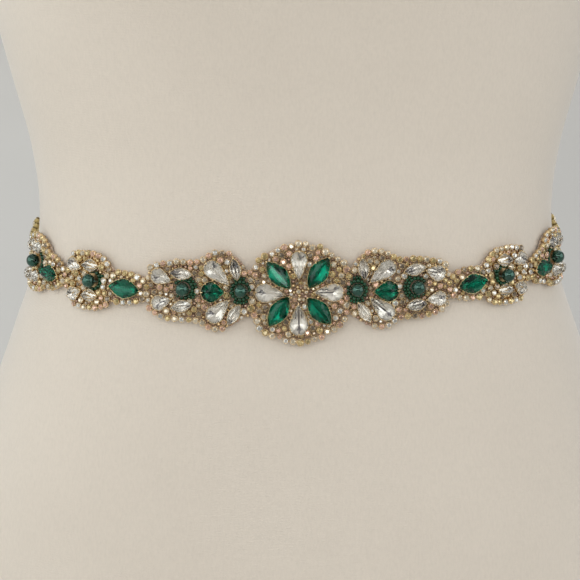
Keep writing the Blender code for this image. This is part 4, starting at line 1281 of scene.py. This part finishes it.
ACCENTS = [  # larger set stones that stand proud of the rest: arc length, height, diameter, tint
    (-10.8, 18.2, 2.7, "ice"), (9.6, 16.4, 2.8, "smoke"), (16.2, 13.3, 2.7, "ice"),
    (-18.0, 12.9, 2.7, "ice"), (-18.6, 6.6, 2.8, "peach"), (18.2, 8.6, 2.8, "honey"),
    (15.4, -7.4, 2.7, "peach"), (18.4, -5.6, 2.5, "peach"), (15.9, -12.6, 2.7, "ice"),
    (-11.2, -17.2, 2.6, "ice"), (-6.1, -16.9, 2.4, "honey"), (3.8, -18.9, 2.7, "peach"),
    (8.4, -15.0, 2.8, "peach"), (-16.8, -9.2, 3.0, "smoke"), (-15.8, -14.2, 2.6, "honey"),
    (-6.2, 16.2, 2.9, "honey"), (5.6, 16.0, 2.6, "peach"), (-14.9, 3.6, 2.2, "champagne"),
    (-44.6, 7.4, 2.4, "smoke"), (-42.9, 4.6, 2.5, "champagne"), (-43.4, -0.6, 2.5, "ice"),
    (-43.0, -4.4, 2.3, "peach"), (-41.6, 9.7, 2.3, "honey"), (-56.6, -0.2, 2.6, "peach"),
    (-59.6, 0.6, 2.7, "peach"), (-54.2, -3.0, 2.5, "champagne"), (-62.0, -1.6, 2.4, "smoke"),
    (-63.4, 1.4, 2.5, "smoke"), (-64.8, 4.4, 2.4, "champagne"), (-64.9, -4.6, 2.3, "champagne"),
    (-44.6, -8.6, 2.6, "honey"),
    (-71.6, 2.6, 2.4, "honey"), (-68.6, 0.8, 2.5, "peach"), (-68.0, -2.6, 2.4, "ice"),
    (42.6, 3.8, 2.6, "champagne"), (43.4, 0.4, 2.6, "ice"), (42.6, -4.2, 2.7, "ice"),
    (44.4, -6.6, 2.6, "smoke"), (40.4, 9.8, 2.4, "honey"), (56.4, 1.2, 2.7, "peach"),
    (57.4, -2.0, 2.4, "champagne"), (61.2, -0.6, 2.7, "peach"), (59.6, 1.4, 2.3, "smoke"),
    (65.0, 4.2, 2.4, "champagne"), (64.9, -5.4, 2.4, "smoke"), (63.6, 0.6, 2.5, "ice"),
    (68.0, -2.8, 2.6, "ice"),
    (68.6, 1.0, 2.4, "honey"), (46.4, 6.6, 2.3, "champagne"), (-46.6, -5.0, 2.3, "champagne"),
    (-84.0, -1.0, 2.5, "ice"), (84.6, -1.2, 2.6, "ice"), (-98.0, 0.8, 2.6, "ice"),
    (-102.4, 0.6, 2.4, "champagne"), (98.6, 0.4, 2.5, "champagne"), (102.8, 0.4, 2.6, "ice"),
    (-97.0, -0.9, 2.2, "peach"), (-86.4, -6.4, 2.3, "peach"), (86.2, -6.4, 2.6, "ice"),
    (-86.6, 8.8, 2.4, "champagne"), (86.4, 8.6, 2.4, "peach"), (-83.4, -8.2, 2.6, "ice"),
]


def edge_points(kind, s, t, angle, length, width, spread=0.0):
    """A large stone's outline in belt coordinates."""
    a = math.radians(angle)
    edge = outline(kind, length + 2 * spread, width + 2 * spread, 48)
    return np.array([(s + x * math.cos(a) - y * math.sin(a), t + x * math.sin(a)
                      + y * math.cos(a)) for x, y in edge])


def polygon_distance(px, py, poly):
    """Distance of points to a closed polygon, under 0 inside it."""
    best = np.full(px.shape, 1e9)
    within = np.zeros(px.shape, bool)
    for (x0, y0), (x1, y1) in zip(poly, np.roll(poly, -1, axis=0)):
        dx, dy = x1 - x0, y1 - y0
        u = np.clip(((px - x0) * dx + (py - y0) * dy) / (dx * dx + dy * dy + 1e-12), 0, 1)
        best = np.minimum(best, np.hypot(px - x0 - u * dx, py - y0 - u * dy))
        cross = ((y0 > py) != (y1 > py)) & (px < dx * (py - y0) / (dy if dy else 1e-12) + x0)
        within ^= cross
    return np.where(within, -best, best)


class Field:
    """How much room is left round each point of the belt's face."""

    def __init__(self):
        self.s = np.arange(-149.0, 149.0, 0.3)
        self.t = np.arange(-21.6, 20.4, 0.3)
        self.ps, self.pt = np.meshgrid(self.s, self.t, indexing="ij")
        rows = backing_outline()
        edge = np.concatenate([rows[:, [0, 1]], rows[::-1][:, [0, 2]]])
        self.room = 0.55 - polygon_distance(self.ps, self.pt, edge[::2])
        # the middle of the flower has only the smallest stones and balls
        self.room = np.minimum(self.room, 0.95 + np.maximum(
            0.0, np.hypot(self.ps, self.pt - FLOWER_T) - 6.4))

    def window(self, s, t, reach):
        i = np.searchsorted(self.s, (s - reach, s + reach))
        j = np.searchsorted(self.t, (t - reach, t + reach))
        return slice(*i), slice(*j)

    def disc(self, s, t, radius):
        w = self.window(s, t, radius + 4)
        self.room[w] = np.minimum(self.room[w], np.hypot(self.ps[w] - s, self.pt[w] - t) - radius)

    def stone(self, row):
        kind, s, t, angle, length, width = row
        w = self.window(s, t, length / 2 + 4)
        poly = edge_points(kind, s, t, angle, length, width, -0.10)
        self.room[w] = np.minimum(self.room[w], polygon_distance(self.ps[w], self.pt[w], poly))


def make_fill():
    """Seed beads, accents, then small stones and gold balls wherever there is room."""
    field = Field()
    for row in BIG:
        field.stone(row)
    for s, t, r in ROUND:
        field.disc(s, t, r)

    def room_at(s, t):
        i = int(np.clip(np.searchsorted(field.s, s), 0, len(field.s) - 1))
        j = int(np.clip(np.searchsorted(field.t, t), 0, len(field.t) - 1))
        return field.room[i, j]

    seeds, accents, stones, balls = [], [], [], []
    for side in (-1, 1):
        first = 3 if side < 0 else 5
        beads = {row[0]: row[first:first + 2] for row in BEADS}
        for name, low, high, reach, count, size in SEEDS:
            s0, t0 = float(outer(side, beads[name][0])), beads[name][1]
            for k in range(count):
                a = math.radians(low + (high - low) * (k + 0.5) / count)
                s, t = s0 + reach * math.cos(a), t0 + reach * math.sin(a)
                if room_at(side * s, t) > (-0.45 if reach < 4.2 else 0.35 * size):
                    turn = math.degrees(a) + 90 + RNG.uniform(-12, 12)
                    seeds.append((side * s, t, turn if side > 0 else 180 - turn,
                                  2.85 + RNG.uniform(-0.1, 0.25), size * RNG.uniform(0.94, 1.04)))
    for s, t, size, tint in ACCENTS:
        if room_at(s, t) > 0.30 * size:
            k = RNG.uniform(0.9, 1.1)
            accents.append((s, t, RNG.uniform(0, 90), 2.05 + 0.56 * size, size,
                            tuple(min(1.0, c * k) for c in TINTS[tint]), tilt(0.12)))
    for s, t, _, _, size in seeds:
        field.disc(s, t, size / 2)
    for row in accents:
        field.disc(row[0], row[1], row[4] / 2)
    for radius, made in ((1.50, stones), (1.32, stones), (1.12, stones), (0.90, stones),
                         (0.80, balls), (0.56, balls)):
        for _ in range(400):
            fits = np.where(field.room >= radius + 0.02, field.room, 1e9)
            k = int(np.argmin(fits))
            if fits.flat[k] > 1e8:
                break
            s, t = float(field.ps.flat[k]), float(field.pt.flat[k])
            size = 2 * radius
            if made is stones:
                tints = OUTER_TINTS if abs(s) > 65 else PAIR_TINTS if abs(s) > 22 else ()
                made.append((s, t, RNG.uniform(0, 90), 1.70 + 0.52 * size
                             + RNG.uniform(-0.1, 0.25), size, small_tint(*tints), tilt(0.12)))
            else:
                made.append((s, t, 0.0, 1.9 + 0.35 * size + RNG.uniform(0.0, 0.5), size))
            field.disc(s, t, radius)
    zones = (("left", -1000, -21.5), ("centre", -21.5, 21.5), ("right", 21.5, 1000))
    for name, low, high in zones:
        pick = lambda rows: [r for r in rows if low <= r[0] < high]
        batch = Batch(f"filler_{name}_stones", SMALL, GOLD, ROSE)
        batch.copies(SMALL_CUP, pick(accents) + pick(stones))
        batch.copies(BALL, pick(balls)[::3], slots=[1])
        batch.copies(BALL, pick(balls)[1::3] + pick(balls)[2::3], slots=[2])
        batch.build("gold_setting")
        if pick(seeds):
            batch = Batch(f"seed_beads_{name}", SEED)
            batch.copies(SEED_BEAD, pick(seeds))
            batch.build("green_glass")
    return len(seeds), len(accents), len(stones), len(balls)


# ---------------------------------------------------------------- stage, light and camera
def make_stage():
    """A pale floor that turns up into a round wall far behind the cameras."""
    part = Part()
    profile = [(0.001, 0.0), (1.0, 0.0), (2.5, 0.0), (4.3, 0.0)]
    profile += [(4.3 + 1.4 * math.sin(a), 1.4 - 1.4 * math.cos(a))
                for a in np.radians(np.linspace(6, 90, 15))]
    profile += [(5.7, 2.4), (5.7, 3.4)]
    rings = [[(r * math.cos(a), r * math.sin(a), z)
              for a in (2 * math.pi * k / 96 for k in range(96))] for r, z in profile]
    part.rings([list(reversed(r)) for r in rings], 0, True, caps=(True, False))
    mesh = bpy.data.meshes.new("stage")
    mesh.from_pydata(part.points, [], part.faces)
    mesh.materials.append(stage_mat())
    mesh.shade_smooth()
    obj = bpy.data.objects.new("stage", mesh)
    bpy.context.scene.collection.objects.link(obj)


def lamp(name, kind, location, target, energy, colour=(1, 1, 1), **props):
    data = bpy.data.lights.new(name, kind)
    data.energy, data.color = energy, colour
    for key, value in props.items():
        setattr(data, key, value)
    obj = bpy.data.objects.new(name, data)
    obj.location = location
    obj.rotation_mode = "QUATERNION"
    obj.rotation_quaternion = (Vector(target) - Vector(location)).to_track_quat("-Z", "Y")
    bpy.context.scene.collection.objects.link(obj)
    return obj


def make_lights():
    middle = (0.0, -0.05, 0.26)
    for name, kind, location, energy, colour, props in LAMPS:
        lamp(name, kind, location, middle, energy, colour, **props)
    world = bpy.data.worlds.new("studio")
    bpy.context.scene.world = world
    world.use_nodes = True
    back = world.node_tree.nodes["Background"]
    back.inputs["Color"].default_value = (*WORLD_COLOUR, 1)
    back.inputs["Strength"].default_value = WORLD_STRENGTH


def make_camera():
    """As the photographer stood: 0.9 m off, 15 degrees above and a little to the left."""
    data = bpy.data.cameras.new("camera")
    data.sensor_width = 36.0
    data.lens = CAMERA["focal"] / 580 * 36.0
    data.clip_start, data.clip_end = 0.05, 50.0
    obj = bpy.data.objects.new("camera", data)
    e = math.radians(CAMERA["elevation"])
    a = math.radians(CAMERA["azimuth"])
    target = place(CAMERA["target"])
    ahead = np.array([math.sin(a) * math.cos(e), math.cos(a) * math.cos(e), -math.sin(e)])
    right = np.array([math.cos(a), -math.sin(a), 0.0])
    up = np.cross(right, ahead)
    at = target - CAMERA["distance"] * ahead
    dx, dy = (CAMERA["at"][0] - 290) / CAMERA["focal"], (290 - CAMERA["at"][1]) / CAMERA["focal"]
    look = ahead - dx * right - dy * up
    obj.location = at
    obj.rotation_mode = "QUATERNION"
    obj.rotation_quaternion = Vector(look).to_track_quat("-Z", "Y")
    bpy.context.scene.collection.objects.link(obj)
    bpy.context.scene.camera = obj


CAMERA = {"elevation": 15.0, "azimuth": 1.0, "distance": 0.9, "focal": 2085.6,
          "target": (0.0, -91.5, -21.7), "at": (298.5, 293.2)}
WORLD_COLOUR, WORLD_STRENGTH = (0.95, 0.98, 1.0), 0.49
LAMPS = [
    ("key", "AREA", (-2.3, -1.1, 1.25), 45.5, (0.89, 0.96, 1.0),
     {"shape": "RECTANGLE", "size": 3.8, "size_y": 2.2}),
    ("fill", "AREA", (2.3, -1.0, 1.1), 34.0, (0.91, 0.965, 1.0),
     {"shape": "RECTANGLE", "size": 3.0, "size_y": 2.0}),
    ("front", "AREA", (-0.5, -2.6, 1.9), 2.0, (1.0, 0.965, 0.92), {"size": 2.4}),
    ("strip", "AREA", (-0.15, -1.55, 1.05), 4.8, (1.0, 0.98, 0.95),
     {"shape": "RECTANGLE", "size": 1.6, "size_y": 0.35}),
    ("top", "AREA", (0.0, -0.3, 3.0), 8.0, (1.0, 1.0, 1.0), {"size": 2.4}),
    ("back", "AREA", (0.6, 2.4, 1.6), 18.0, (1.0, 1.0, 1.0), {"size": 2.0}),
    ("glint_1", "AREA", (-0.55, -1.5, 1.5), 0.8, (1.0, 1.0, 1.0), {"size": 0.22}),
    ("glint_2", "AREA", (0.75, -1.6, 1.15), 0.8, (1.0, 1.0, 1.0), {"size": 0.20}),
    ("glint_3", "AREA", (0.1, -1.7, 0.12), 0.4, (1.0, 1.0, 1.0), {"size": 0.16}),
]

make_camera()
make_stage()
make_lights()
make_form()
make_backing()
make_ribbons()
make_stitches()
make_big_stones()
make_beads()
make_borders()
make_flower_centre()
make_rosettes()
make_chains()
make_fill()

bpy.context.scene.view_settings.view_transform = "Standard"
bpy.context.scene.view_settings.look = "None"

bpy.context.view_layer.update()
